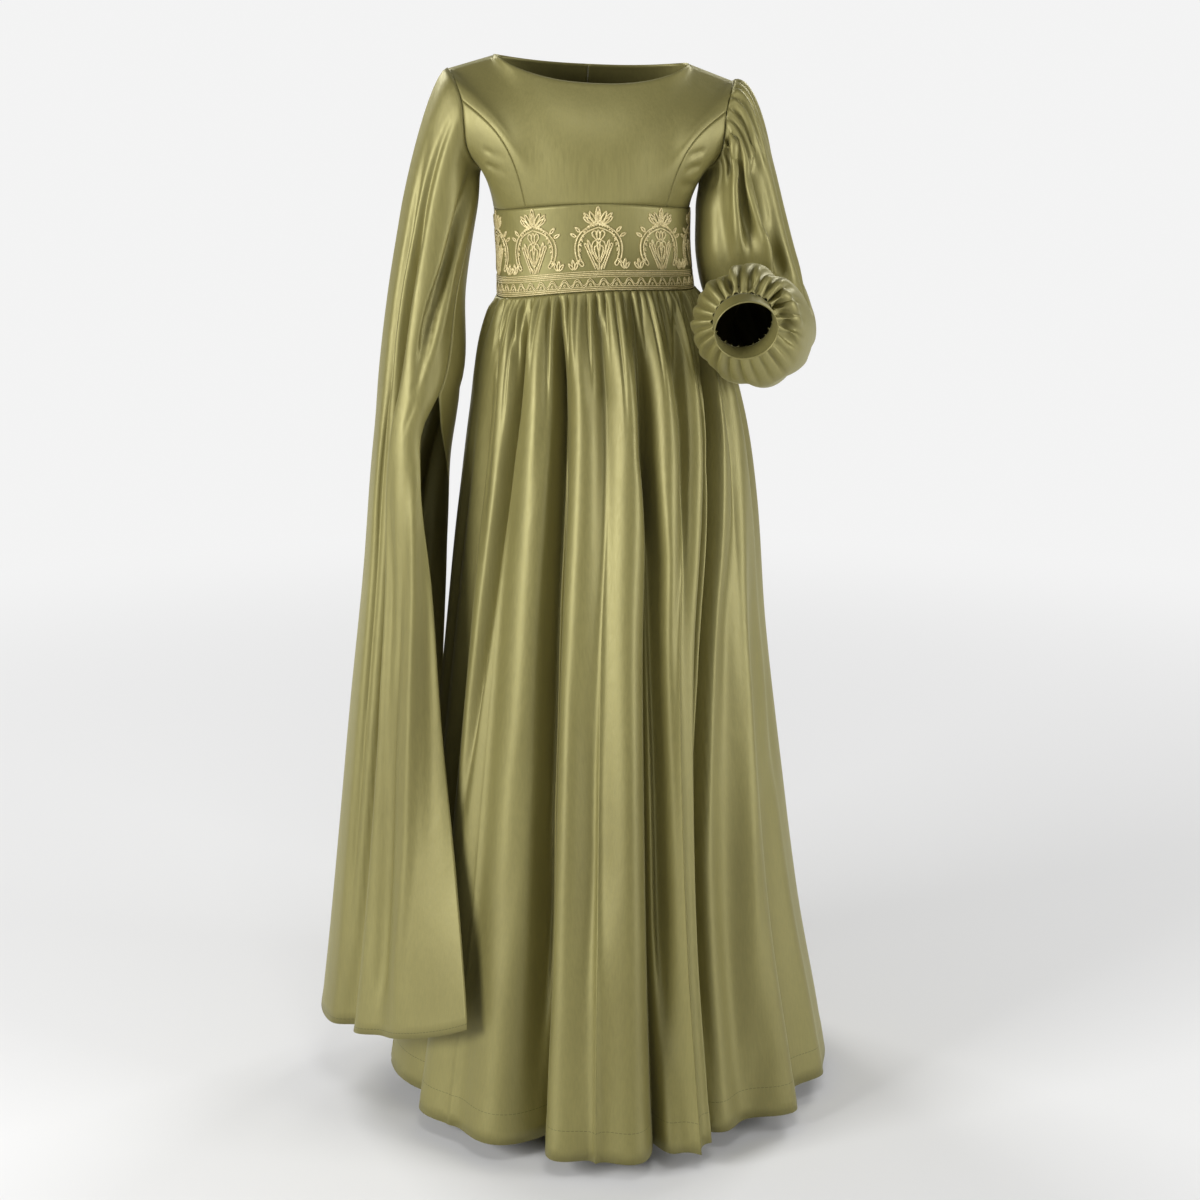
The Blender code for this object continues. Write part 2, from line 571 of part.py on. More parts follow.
def sleeve_head(start, leave, end, end_slope, level):
    """A curve from the armhole to the first section of a sleeve."""
    t = level
    return ((2 * t**3 - 3 * t**2 + 1) * start + (t**3 - 2 * t**2 + t) * leave
            + (3 * t**2 - 2 * t**3) * end + (t**3 - t**2) * end_slope)


def long_sleeve_point(panel, share, z):
    """A point of the long sleeve: share runs from the outer edge to the slit on the front, and back again."""
    row = read_table(LONG_SLEEVE, "z", z)[1:].reshape(7, 2)
    out, fore, side, edge, back_edge, inner, rear = row
    if z > SLIT_TOP_Z - 0.001:
        back_edge = edge
    ends = (out, fore, side, edge) if panel == "front" else (back_edge, inner, rear, out)
    point = bezier(ends, share)
    tangent = bezier(ends, min(share + 0.01, 1.0)) - bezier(ends, max(share - 0.01, 0.0))
    inward = np.array([-tangent[1], tangent[0]]) / np.linalg.norm(tangent)
    for fold in LONG_SLEEVE_FOLDS:
        if fold.panel != panel or not fold.low_z < z < fold.top_z:
            continue
        along = (fold.top_z - z) / (fold.top_z - fold.low_z)
        centre = mix(fold.top_share, fold.mid_share, min(along * 2, 1.0))
        centre = mix(centre, fold.low_share, max(along * 2 - 1, 0.0))
        fade = smooth(along / 0.2) * (smooth((1 - along) / 0.35) if fold.low_z > SLIT_TOP_Z - 0.1 else 1.0)
        fade *= smooth(share / 0.1) * smooth((1.0 - share) / 0.1)
        point = point + inward * fold.depth * fade * math.exp(-((share - centre) / fold.width) ** 2)
    return np.array([point[0], point[1], z])


def long_sleeve_panel(panel, seam, facing, way_out):
    """Rows of one panel of the long sleeve from the armhole to the hem, and their outward directions."""
    count = len(seam)
    head_z = LONG_SLEEVE[0].z
    columns, first = [], []
    for column in range(count // 2 + 1):
        station = (column + (0 if panel == "front" else count // 2)) % count
        share = column / (count // 2)
        angle = 180.0 * share if panel == "front" else 180.0 + 180.0 * share
        end = long_sleeve_point(panel, share, head_z)
        slope = (long_sleeve_point(panel, share, head_z - 0.02) - end) * 6.0
        start, normal, leave = sleeve_start(seam[station], facing[station], way_out[station], angle,
                                            LONG_SLEEVE_HEAD)
        first.append(normal)
        rise = LONG_SLEEVE_HEM_RISE * (share if panel == "front" else 1.0 - share) ** 2
        foot = LONG_SLEEVE_HEM_Z + rise
        line = [sleeve_head(start, leave, end, slope, level) for level in LONG_SLEEVE_HEAD_LEVELS]
        line += [long_sleeve_point(panel, share, mix(head_z, SLIT_TOP_Z, level)) for level in TUBE_LEVELS]
        line += [long_sleeve_point(panel, share, mix(SLIT_TOP_Z, foot, level)) for level in OPEN_LEVELS]
        columns.append(line)
    rings = np.array(columns).transpose(1, 0, 2)
    normals = normals_of(rings)
    normals[0] = first
    return rings, normals


def mitred(first, second):
    """One direction for two walls that meet at an edge, as long as the corner needs."""
    between = unit(unit(first) + unit(second))
    cosine = np.sum(between * unit(first), axis=-1, keepdims=True)
    return between / np.maximum(cosine, 0.6)


def build_long_sleeve(grids):
    """Long open sleeve on the wearer's right: front and back panels, open below the slit."""
    seam, facing, way_out = armhole_seam(grids, -1, CHORD_PARTS_LONG)
    front, front_normals = long_sleeve_panel("front", seam, facing, way_out)
    back, back_normals = long_sleeve_panel("back", seam, facing, way_out)
    closed = len(LONG_SLEEVE_HEAD_LEVELS) + len(TUBE_LEVELS)
    over = mitred(front_normals[1:, 0], back_normals[1:, -1])
    under = mitred(front_normals[1:closed, -1], back_normals[1:closed, 0])
    front_normals[1:, 0] = over
    back_normals[1:, -1] = over
    front_normals[1:closed, -1] = under
    back_normals[1:closed, 0] = under
    sheet("long_sleeve_front", inset(front), front_normals)
    sheet("long_sleeve_back", inset(back), back_normals)


def full_sleeve_frame(level):
    """Centre, side and front directions and half sizes of a section of the gathered sleeve."""
    keyed = [(number,) + tuple(row) for number, row in enumerate(FULL_SLEEVE)]
    Keyed = namedtuple("Keyed", "number x y z bend yaw out inner fore rear")
    row = read_table([Keyed(*values) for values in keyed], "number", level)[1:]
    bend, yaw = math.radians(row[3]), math.radians(row[4])
    ahead = np.array([math.sin(yaw), -math.cos(yaw), 0.0])
    up = np.array([0.0, 0.0, 1.0])
    side = np.array([math.cos(yaw), math.sin(yaw), 0.0])
    fore = ahead * math.cos(bend) + up * math.sin(bend)
    along = ahead * math.sin(bend) - up * math.cos(bend)
    return row[:3], side, fore, along, row[5:]


def full_sleeve_point(angle, level, gather=0.0):
    """A point of the gathered sleeve. Angle 0 is its outer side, 90 its front."""
    centre, side, fore, _, sizes = full_sleeve_frame(level)
    turn = math.radians(angle)
    across = sizes[0] if math.cos(turn) > 0 else sizes[1]
    deep = sizes[2] if math.sin(turn) > 0 else sizes[3]
    reach = side * math.cos(turn) * across + fore * math.sin(turn) * deep
    last = len(FULL_SLEEVE) - 1
    shrink = 0.0
    for fold in FULL_SLEEVE_FOLDS:
        if fold.start < level < fold.end:
            along = (level - fold.start) / (fold.end - fold.start)
            centre_angle = mix(fold.top_angle, fold.low_angle, along)
            away = (angle - centre_angle + 180.0) % 360.0 - 180.0
            shrink += fold.depth * math.sin(math.pi * along) ** 0.5 * math.exp(-(away / fold.width) ** 2)
    near_cuff = smooth((level - last + 2.2) / 1.6) * mix(1.0, 0.35, smooth((level - last + 0.4) / 0.4))
    ripple = 0.0042 * gather * near_cuff
    return centre + reach - unit(reach) * (shrink - ripple)


def build_full_sleeve(grids):
    """Gathered sleeve on the wearer's left, with its plain cuff."""
    seam, facing, way_out = armhole_seam(grids, 1, CHORD_PARTS_FULL)
    count = len(seam)
    columns = []
    first = []
    for column in range(count):
        angle = 360.0 * column / count
        gather = gather_height(column)
        start, normal, leave = sleeve_start(seam[column], facing[column], way_out[column], angle,
                                            FULL_SLEEVE_HEAD)
        first.append(normal)
        end = full_sleeve_point(angle, 0.0, gather)
        slope = (full_sleeve_point(angle, 0.1, gather) - end) * 12.0
        top = 0.5 + 0.5 * math.cos(math.radians(angle))
        line = []
        for level in FULL_SLEEVE_HEAD_LEVELS:
            point = sleeve_head(start, leave, end, slope, level)
            out = unit(point - mix(seam.mean(axis=0), np.array(FULL_SLEEVE[0][:3]), level))
            height = 0.0055 * math.sin(math.pi * min(level * 1.6 + 0.02, 1.0)) * mix(0.3, 1.0, top)
            line.append(point + out * gather * height)
        line += [full_sleeve_point(angle, level, gather) for level in FULL_SLEEVE_LEVELS]
        columns.append(line)
    rings = np.array(columns).transpose(1, 0, 2)
    normals = -normals_of(rings, closed=True)
    normals[0] = first
    centre, side, fore, along, sizes = full_sleeve_frame(len(FULL_SLEEVE) - 1)
    normals[-1] = unit(rings[-1] - centre)
    sheet("full_sleeve", inset(rings, sides=False), normals, closed=True, thinned=FULL_SLEEVE_THINNED)
    cuff = []
    for reach in (SEAM_GAP / 2, CUFF_WIDTH / 2, CUFF_WIDTH):
        radius = sizes[0] + CUFF_FLARE * reach / CUFF_WIDTH
        turns = [2.0 * math.pi * number / CUFF_SIDES for number in range(CUFF_SIDES)]
        cuff.append([centre + along * reach + (side * math.cos(t) + fore * math.sin(t)) * radius for t in turns])
    cuff = np.array(cuff)
    outward = unit(cuff - (centre + np.array([0.0, 0.0, 0.0])))
    outward -= along * (outward @ along)[..., None]
    sheet("cuff_left", cuff, unit(outward), closed=True, colour=SATIN_SIDES)


def main():
    for thing in list(bpy.data.objects):
        bpy.data.objects.remove(thing, do_unlink=True)
    grids = build_bodice()
    build_waistband()
    build_skirt()
    build_long_sleeve(grids)
    build_full_sleeve(grids)


main()
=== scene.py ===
"""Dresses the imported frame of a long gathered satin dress: its cloth, seams and corded embroidery.

The wearer faces -Y and the wearer's left is +X. Units are metres.
"""

import math
from collections import namedtuple
from functools import lru_cache

import bmesh
import bpy
import numpy as np
from mathutils import Matrix, Vector


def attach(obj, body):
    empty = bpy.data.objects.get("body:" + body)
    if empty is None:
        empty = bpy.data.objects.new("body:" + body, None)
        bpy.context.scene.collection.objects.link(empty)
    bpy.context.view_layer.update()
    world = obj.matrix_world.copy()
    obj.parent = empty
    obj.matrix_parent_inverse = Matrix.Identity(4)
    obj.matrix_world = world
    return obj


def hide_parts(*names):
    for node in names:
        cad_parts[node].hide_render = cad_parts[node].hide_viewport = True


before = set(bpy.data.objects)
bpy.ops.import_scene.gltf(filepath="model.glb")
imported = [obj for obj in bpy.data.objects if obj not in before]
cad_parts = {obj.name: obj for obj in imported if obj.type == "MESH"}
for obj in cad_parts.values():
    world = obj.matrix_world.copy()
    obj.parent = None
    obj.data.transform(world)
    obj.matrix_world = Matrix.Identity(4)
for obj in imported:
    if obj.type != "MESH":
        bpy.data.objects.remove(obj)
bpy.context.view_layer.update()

PER_METRE = 1000.0


def rows_of(kind, *rows):
    """Rows of a table, with names for their columns."""
    return tuple(kind(*row) for row in rows)


# Cloth and seams
CLOTH = 0.0011
SEAM_GAP = 0.0001
SEAM_PRESS = 0.0010
BODICE_EASING = 160
CREASE_STRENGTH, LONG_CREASE_STRENGTH = 1.5, 0.8
SKIRT_HEM, LONG_SLEEVE_HEM, CUFF_STITCH = 0.043, 0.008, 0.004
HEM_PROUD, HEM_GROOVE = 0.0008, 0.0008

# Neck and shoulders
NECK_HALF_WIDTH = 0.133
NECK_SIDE_Z = 0.004
NECK_FRONT_Y, NECK_FRONT_Z = -0.065, -0.0225
NECK_BACK_Y, NECK_BACK_Z = 0.058, -0.006
SHOULDER_HALF_WIDTH = 0.1943
SHOULDER_Z = -0.0165

# Armhole: angle 0 is the shoulder end, 90 the front, 180 the armpit
ARMHOLE_STATIONS = 24
Armhole = namedtuple("Armhole", "angle x y z")
ARMHOLE = rows_of(
    Armhole,
    (-30, 0.1885, 0.034, -0.0250),
    (0, SHOULDER_HALF_WIDTH, 0.000, SHOULDER_Z),
    (30, 0.1870, -0.034, -0.0270),
    (60, 0.1780, -0.055, -0.0530),
    (90, 0.1750, -0.061, -0.0840),
    (120, 0.1710, -0.054, -0.1120),
    (150, 0.1600, -0.033, -0.1330),
    (180, 0.1455, 0.000, -0.1440),
    (210, 0.1570, 0.034, -0.1340),
    (240, 0.1660, 0.056, -0.1120),
    (270, 0.1710, 0.062, -0.0820),
    (300, 0.1770, 0.055, -0.0500),
    (330, 0.1885, 0.034, -0.0250),
    (360, SHOULDER_HALF_WIDTH, 0.000, SHOULDER_Z),
    (390, 0.1870, -0.034, -0.0270),
)

# Waistband, from under the bust down to the waist
BAND_ROWS = 28
BAND_TOP_Z, BAND_TOP_ARCH = -0.1945, 0.0175
WAIST_Z, WAIST_ARCH = -0.3105, 0.0155
HEM_Z = -1.455

Ring = namedtuple("Ring", "level half_width front back")
BAND_RINGS = rows_of(
    Ring,
    (0.0, 0.1340, 0.115, 0.100),
    (0.5, 0.1325, 0.108, 0.096),
    (1.0, 0.1355, 0.105, 0.095),
)

# How the figure stands: sideways shift of each level, and its slope across
Posture = namedtuple("Posture", "z shift slope")
POSTURE = rows_of(
    Posture,
    (-1.455, 0.0235, 0.000),
    (-0.800, 0.0205, 0.000),
    (-0.450, 0.0195, 0.018),
    (-0.310, 0.0055, 0.033),
    (-0.190, 0.0000, 0.000),
    (-0.060, 0.0000, -0.050),
    (0.020, 0.0000, -0.050),
)

# Columns of the bodice, counted from the centre line to the side seam.
# Each is a curve from the waistband to the neck, shoulder or armhole, and low
# and high are its two handles.
NECK_COLUMN, SHOULDER_COLUMN, PRINCESS_COLUMN, SIDE_COLUMN = 6, 8, 12, 20
BODICE_ROWS = 36
FINE = 6
Column = namedtuple("Column", "column foot_angle low high")
FRONT_COLUMNS = rows_of(
    Column,
    (0, 0.0, (0.0000, -0.133, -0.127), (0.0000, -0.112, -0.052)),
    (3, 11.0, (0.0310, -0.133, -0.127), (0.0530, -0.110, -0.049)),
    (6, 22.0, (0.0600, -0.132, -0.128), (0.1010, -0.102, -0.040)),
    (8, 29.0, (0.0750, -0.131, -0.128), (0.1240, -0.097, -0.043)),
    (12, 45.0, (0.0990, -0.126, -0.117), (0.1180, -0.104, -0.069)),
    (16, 67.0, (0.1330, -0.068, -0.157), (0.1500, -0.076, -0.125)),
    (20, 90.0, (0.1365, 0.000, -0.177), (0.1410, 0.000, -0.161)),
)
BACK_COLUMNS = rows_of(
    Column,
    (0, 0.0, (0.0000, 0.116, -0.145), (0.0000, 0.104, -0.050)),
    (3, 12.0, (0.0350, 0.116, -0.145), (0.0590, 0.103, -0.046)),
    (6, 24.0, (0.0690, 0.114, -0.145), (0.1120, 0.096, -0.036)),
    (8, 32.0, (0.0890, 0.108, -0.145), (0.1420, 0.090, -0.044)),
    (14, 61.0, (0.1330, 0.072, -0.150), (0.1600, 0.082, -0.106)),
    (20, 90.0, (0.1365, 0.000, -0.177), (0.1410, 0.000, -0.161)),
)

# Skirt: half width and depths at each drop below the waist
SkirtRing = namedtuple("SkirtRing", "drop half_width front back")
SKIRT_RINGS = rows_of(
    SkirtRing,
    (0.000, 0.1365, 0.106, 0.096),
    (0.020, 0.1470, 0.117, 0.108),
    (0.055, 0.1630, 0.134, 0.126),
    (0.095, 0.1770, 0.150, 0.143),
    (0.165, 0.1930, 0.171, 0.166),
    (0.290, 0.2120, 0.201, 0.196),
    (0.475, 0.2310, 0.236, 0.230),
    (0.690, 0.2580, 0.276, 0.265),
    (0.905, 0.2870, 0.315, 0.300),
    (1.075, 0.3185, 0.345, 0.325),
    (1.145, 0.3300, 0.360, 0.335),
)
SKIRT_ROWS = 84
HIP_LEVEL = 0.12

# Deep folds of the skirt. Angles run from the front towards the wearer's left.
# The swell is how far the cloth after the fold stands out, the lean is how
# many degrees the fold's root tucks sideways under its neighbour.
SkirtFold = namedtuple("SkirtFold", "waist hem hip_depth hem_depth lean swell")
SKIRT_FOLDS = rows_of(
    SkirtFold,
    (-64, -67, 0.012, 0.040, 0, -0.004),
    (-45, -50, 0.012, 0.012, 0, -0.006),
    (-22, -26, 0.030, 0.085, 3, 0.000),
    (-1, -8, 0.020, 0.002, 0, 0.002),
    (19, 9, 0.026, 0.060, -1, -0.018),
    (37, 18, 0.018, 0.002, 0, -0.028),
    (54, 26, 0.028, 0.080, -3, -0.052),
    (68, 50, 0.018, 0.010, 0, -0.040),
    (81, 74, 0.014, 0.008, 0, -0.004),
    (99, 107, 0.018, 0.050, 0, 0.000),
    (121, 129, 0.026, 0.065, 2, 0.004),
    (144, 150, 0.020, 0.035, 0, -0.006),
    (169, 170, 0.026, 0.060, -1, 0.000),
    (191, 191, 0.018, 0.030, 0, -0.004),
    (214, 212, 0.026, 0.070, 3, 0.000),
    (232, 230, 0.016, 0.030, 0, -0.006),
    (249, 247, 0.018, 0.045, 0, -0.006),
)
GATHERS_PER_FOLD = 4
POINTS_PER_GATHER = 3
SKIRT_FINE = 3
SKIRT_ROW_POWER = 1.35
FOLD_ROUNDNESS = 0.35
LEFT_SIDE_FOLD, CENTRE_BACK_FOLD, RIGHT_SIDE_FOLD = 8, 12, 16
GATHER_HEIGHT = 0.0050
GATHER_REACHES = (0.13, 0.05, 0.09, 0.17, 0.06, 0.11, 0.045, 0.15, 0.08, 0.12, 0.055)
GATHER_UNEVENNESS = (1.0, 0.55, 0.85, 1.35, 0.7, 1.15, 0.5, 1.4, 0.8)

# Long open sleeve. At each height its front and back panels are two curves:
# out, fore, side and edge shape the front, back edge, inner, rear and out the
# back. Down to the slit both panels meet at their edges.
LongSleeve = namedtuple("LongSleeve", "z out fore side edge back_edge inner rear")
LONG_SLEEVE = rows_of(
    LongSleeve,
    (-0.200, (-0.261, 0.012), (-0.262, -0.075), (-0.190, -0.092), (-0.160, -0.022),
     (-0.160, -0.022), (-0.140, 0.045), (-0.225, 0.115)),
    (-0.300, (-0.279, 0.015), (-0.281, -0.085), (-0.215, -0.110), (-0.186, -0.046),
     (-0.186, -0.046), (-0.137, 0.030), (-0.240, 0.135)),
    (-0.435, (-0.297, 0.020), (-0.300, -0.080), (-0.245, -0.118), (-0.213, -0.078),
     (-0.213, -0.078), (-0.120, 0.005), (-0.262, 0.150)),
    (-0.480, (-0.301, 0.021), (-0.304, -0.078), (-0.262, -0.118), (-0.236, -0.088),
     (-0.212, -0.060), (-0.135, 0.020), (-0.270, 0.152)),
    (-0.550, (-0.309, 0.022), (-0.312, -0.075), (-0.272, -0.118), (-0.241, -0.102),
     (-0.203, -0.015), (-0.175, 0.060), (-0.285, 0.155)),
    (-0.700, (-0.323, 0.025), (-0.328, -0.080), (-0.272, -0.125), (-0.229, -0.113),
     (-0.204, 0.080), (-0.215, 0.130), (-0.315, 0.155)),
    (-0.900, (-0.347, 0.027), (-0.352, -0.090), (-0.278, -0.140), (-0.2185, -0.136),
     (-0.212, 0.145), (-0.245, 0.160), (-0.340, 0.150)),
    (-1.100, (-0.369, 0.029), (-0.374, -0.100), (-0.275, -0.158), (-0.203, -0.190),
     (-0.217, 0.190), (-0.270, 0.190), (-0.365, 0.145)),
    (-1.250, (-0.386, 0.030), (-0.391, -0.105), (-0.275, -0.180), (-0.1945, -0.248),
     (-0.220, 0.222), (-0.280, 0.215), (-0.385, 0.145)),
    (-1.400, (-0.405, 0.026), (-0.410, -0.110), (-0.275, -0.205), (-0.190, -0.295),
     (-0.222, 0.260), (-0.285, 0.240), (-0.405, 0.145)),
)
LONG_SLEEVE_HEM_Z, LONG_SLEEVE_HEM_RISE = -1.372, 0.080
SLIT_TOP_Z = -0.438
LONG_HEAD_ROWS, LONG_TUBE_ROWS, LONG_OPEN_ROWS = 12, 16, 48

# Folds of the long sleeve: where each runs across its panel, from z to z
SleeveFold = namedtuple("SleeveFold", "panel top_z low_z top_share mid_share low_share width depth")
LONG_SLEEVE_FOLDS = rows_of(
    SleeveFold,
    ("front", -0.03, -1.80, 0.40, 0.40, 0.24, 0.050, 0.024),
    ("front", -0.50, -1.80, 0.56, 0.53, 0.50, 0.070, 0.010),
    ("front", -0.12, -0.44, 0.88, 0.80, 0.64, 0.065, 0.012),
    ("back", -0.10, -1.80, 0.30, 0.35, 0.30, 0.065, 0.014),
    ("back", -0.05, -1.80, 0.62, 0.60, 0.62, 0.065, 0.020),
    ("back", -0.45, -1.80, 0.82, 0.82, 0.84, 0.055, 0.012),
)

# Gathered sleeve: sections along the bent arm. The bend is 0 where the arm
# hangs and 90 where it points forward, the yaw turns it towards +X.
FullSleeve = namedtuple("FullSleeve", "x y z bend yaw out inner fore rear")
FULL_SLEEVE = rows_of(
    FullSleeve,
    (0.2050, -0.004, -0.200, 4, 0, 0.0605, 0.062, 0.080, 0.072),
    (0.2140, -0.004, -0.262, 12, 0, 0.0685, 0.070, 0.086, 0.078),
    (0.2290, -0.006, -0.318, 30, -4, 0.0730, 0.071, 0.080, 0.084),
    (0.2500, -0.032, -0.358, 56, -10, 0.0580, 0.058, 0.072, 0.078),
    (0.2330, -0.088, -0.352, 78, -16, 0.0630, 0.066, 0.080, 0.080),
    (0.2070, -0.143, -0.340, 84, -14, 0.0680, 0.080, 0.088, 0.084),
    (0.1900, -0.184, -0.325, 78, -6, 0.0600, 0.064, 0.070, 0.068),
    (0.1830, -0.2075, -0.319, 72, 2, 0.0400, 0.040, 0.040, 0.040),
)
Section = namedtuple("Section", "number x y z bend yaw out inner fore rear")
FULL_SLEEVE_SECTIONS = tuple(Section(number, *row) for number, row in enumerate(FULL_SLEEVE))
FULL_HEAD_ROWS, FULL_ROWS = 22, 66
FullFold = namedtuple("FullFold", "top_angle low_angle start end width depth")
FULL_SLEEVE_FOLDS = rows_of(
    FullFold,
    (20, 32, -0.9, 4.0, 9, 0.009),
    (50, 66, -0.9, 2.4, 9, 0.010),
    (88, 96, -0.9, 1.9, 10, 0.009),
    (70, 64, 3.4, 6.0, 10, 0.009),
    (112, 122, 3.5, 6.2, 10, 0.008),
    (128, 120, -0.6, 2.2, 10, 0.007),
    (218, 225, 0.2, 5.5, 11, 0.008),
    (268, 262, -0.9, 5.5, 10, 0.010),
    (305, 300, -0.9, 5.0, 10, 0.010),
    (338, 335, -0.9, 4.0, 9, 0.008),
)
# How a sleeve leaves the armhole: its turn out of the bodice's cloth in
# degrees and how far it keeps that way, at the shoulder and at the armpit.
HeadShape = namedtuple("HeadShape", "top_turn under_turn top_reach under_reach lift")
LONG_SLEEVE_HEAD = HeadShape(2, 80, 0.075, 0.030, 0.000)
FULL_SLEEVE_HEAD = HeadShape(12, 80, 0.085, 0.030, 0.050)

# Cuff of the gathered sleeve
CUFF_WIDTH = 0.030
CUFF_FLARE = 0.0025
CUFF_SIDES = 96
GATHER_POINTS_PER_STATION = 3
CUFF_ROWS = 9
RUFFLE_HEIGHT, HEAD_GATHER_HEIGHT = 0.0075, 0.0055

# Creases. Most front ones are lines drawn over the photo that a separate program met
# with the solids. Their points were then rounded, and some were moved. Those at the
# sides and the back were placed one by one. On the skirt a line is angles and levels,
# a width is in degrees and a depth in metres. Elsewhere all three are in millimetres.
# A negative depth is a ridge.
# Start and end are the shares of the line over which a crease comes and goes.
Crease = namedtuple("Crease", "line width depth start end")


def creases(rows, per_metre=1.0):
    """Rows of creases, in metres or, with the number of units in a metre, in smaller units."""
    return tuple(Crease(np.array(line) / per_metre, width / per_metre, depth / per_metre, start, end)
                 for line, width, depth, start, end in rows)


FRONT_SKIRT_CREASES = creases((
    (((-44, 0), (-44.3, 0.06), (-49.3, 0.19), (-52.2, 0.33), (-55.5, 0.48),
      (-57.7, 0.7)), 1.8, 0.022, 0.1, 0.5),
    (((-24, 0), (-26.4, 0.2), (-27.4, 0.35), (-27.8, 0.6), (-26.7, 1)), 1.6, 0.032, 0.1, 0.3),
    (((16.4, 0), (11.5, 0.18), (14.6, 0.3), (13.8, 0.46), (11, 1)), 2.6, 0.034, 0.2, 0.3),
    (((58, 0), (45.3, 0.2), (38.9, 0.36), (33.8, 0.5), (28.2, 0.67), (26.9, 1)), 1.6, 0.032, 0.15, 0.3),
    (((-0.4, 0), (-5.5, 0.12), (-6.5, 0.23), (-6.7, 0.42)), 2.8, 0.006, 0.1, 0.6),
    (((-29.1, 0), (-30.2, 0.12), (-33, 0.24)), 2.2, 0.006, 0.1, 0.6),
    (((44.3, 0), (33.1, 0.1), (26.5, 0.23), (24.4, 0.4)), 2, 0.01, 0.1, 0.5),
    (((64, 0), (51, 0.1), (43, 0.28)), 1.8, 0.006, 0.1, 0.6),
    (((-10.1, 0), (-9.6, 0.07), (-10.7, 0.16)), 2.2, 0.005, 0.1, 0.6),
    (((62, 0.2), (53.8, 0.48), (44.6, 0.79), (39, 1)), 3.4, -0.006, 0.4, 0.1),
    (((-16.5, 0.36), (-10.9, 0.53), (-10.1, 0.65), (-13.9, 0.86)), 5, 0.008, 0.4, 0.4),
    (((-3.6, 0.64), (-7.1, 0.81), (-10.1, 1)), 4, -0.007, 0.5, 0.1),
    (((4.5, 0.25), (4, 0.55), (3, 0.95)), 5, -0.006, 0.5, 0.4),
    (((-53.7, 0), (-48.7, 0.06), (-50.7, 0.16)), 2, 0.006, 0.1, 0.6),
    (((-71.3, 0), (-60, 0.1), (-57.5, 0.35)), 2.2, 0.006, 0.1, 0.6),
    (((-30.2, 0.44), (-33.7, 0.58), (-36, 0.82)), 4, 0.005, 0.4, 0.4),
    (((81.3, 0.4), (70.4, 0.63), (67.2, 0.92)), 5, 0.007, 0.4, 0.4),
    (((62.7, 0.15), (49, 0.36), (41, 0.6)), 3.4, 0.006, 0.4, 0.5),
    (((-78, 0.05), (-82, 0.4), (-84, 0.9)), 3.2, 0.008, 0.3, 0.3),
    (((93, 0.05), (91, 0.4), (89, 0.75)), 2.8, 0.006, 0.3, 0.4),
))
BACK_SKIRT_CREASES = creases((
    (((112, 0.02), (118, 0.35), (119, 0.95)), 2.2, 0.01, 0.2, 0.3),
    (((133, 0), (138, 0.2), (140, 0.6)), 2.6, 0.006, 0.1, 0.5),
    (((156, 0), (160, 0.2), (161, 0.95)), 2, 0.009, 0.1, 0.3),
    (((176, 0), (178, 0.15), (180, 0.34)), 2.4, 0.005, 0.1, 0.6),
    (((183, 0.38), (181, 0.6), (180, 0.95)), 5, -0.006, 0.4, 0.2),
    (((203, 0), (202, 0.2), (201, 0.7)), 2.4, 0.008, 0.1, 0.4),
    (((222, 0.1), (220, 0.4), (221, 0.98)), 3, 0.008, 0.3, 0.2),
    (((241, 0), (239, 0.2), (238, 0.5)), 2.2, 0.006, 0.1, 0.5),
    (((262, 0.05), (259, 0.45), (257, 0.95)), 3, 0.008, 0.3, 0.3),
))
SKIRT_CREASES = FRONT_SKIRT_CREASES + BACK_SKIRT_CREASES
FULL_SLEEVE_CREASES = creases((
    (((160, -50, -98), (160, -55, -128), (158, -40, -172)), 5, 9, 0.2, 0.5),
    (((174, -60, -90), (178, -60, -113), (184, -71, -162)), 5, 9, 0.2, 0.5),
    (((180, -57, -71), (188, -65, -113), (189, -77, -178), (192, -82, -224),
      (202, -84, -262)), 5.5, -7, 0.2, 0.3),
    (((189, -62, -100), (196, -70, -149), (198, -76, -185), (207, -80, -246)), 6, 10, 0.3, 0.4),
    (((184, -45, -53), (188, -49, -64), (198, -52, -85)), 4.5, 7, 0.2, 0.5),
    (((196, -60, -105), (204, -71, -152), (213, -78, -182), (228, -82, -227),
      (245, -70, -290)), 6, -8, 0.3, 0.3),
    (((202, -46, -66), (213, -54, -107), (209, -72, -141)), 4.5, -5, 0.2, 0.4),
    (((208, -52, -100), (217, -68, -150), (231, -78, -210), (246, -70, -255),
      (262, -58, -310)), 8.5, 12, 0.3, 0.3),
    (((198, -25, -34), (214, -28, -63), (222, -44, -100)), 5.5, 8, 0.2, 0.5),
    (((208, -203, -267), (228, -200, -293), (244, -188, -329), (252, -172, -365)), 7, 11, 0.2, 0.4),
    (((221, -199, -268), (243, -193, -298), (263, -171, -339)), 7, -7, 0.3, 0.4),
    (((160, -190, -262), (166, -205, -271), (169, -217, -279)), 5, 9, 0.4, 0.2),
    (((196, -188, -256), (195, -209, -269), (193, -219, -281)), 4.5, 8, 0.4, 0.2),
    (((232, -198, -288), (228, -207, -302), (222, -208, -318)), 5, 8, 0.3, 0.3),
    (((205, 30, -50), (226, 50, -120), (250, 55, -220), (275, 40, -300)), 9, 10, 0.2, 0.3),
    (((190, 55, -80), (205, 72, -150), (222, 78, -240), (235, 80, -310)), 8, -8, 0.2, 0.3),
    (((176, 62, -100), (184, 74, -160), (190, 78, -240)), 7, 9, 0.2, 0.4),
    (((280, 10, -180), (294, 0, -270), (300, -40, -350)), 10, 8, 0.3, 0.4),
), PER_METRE)
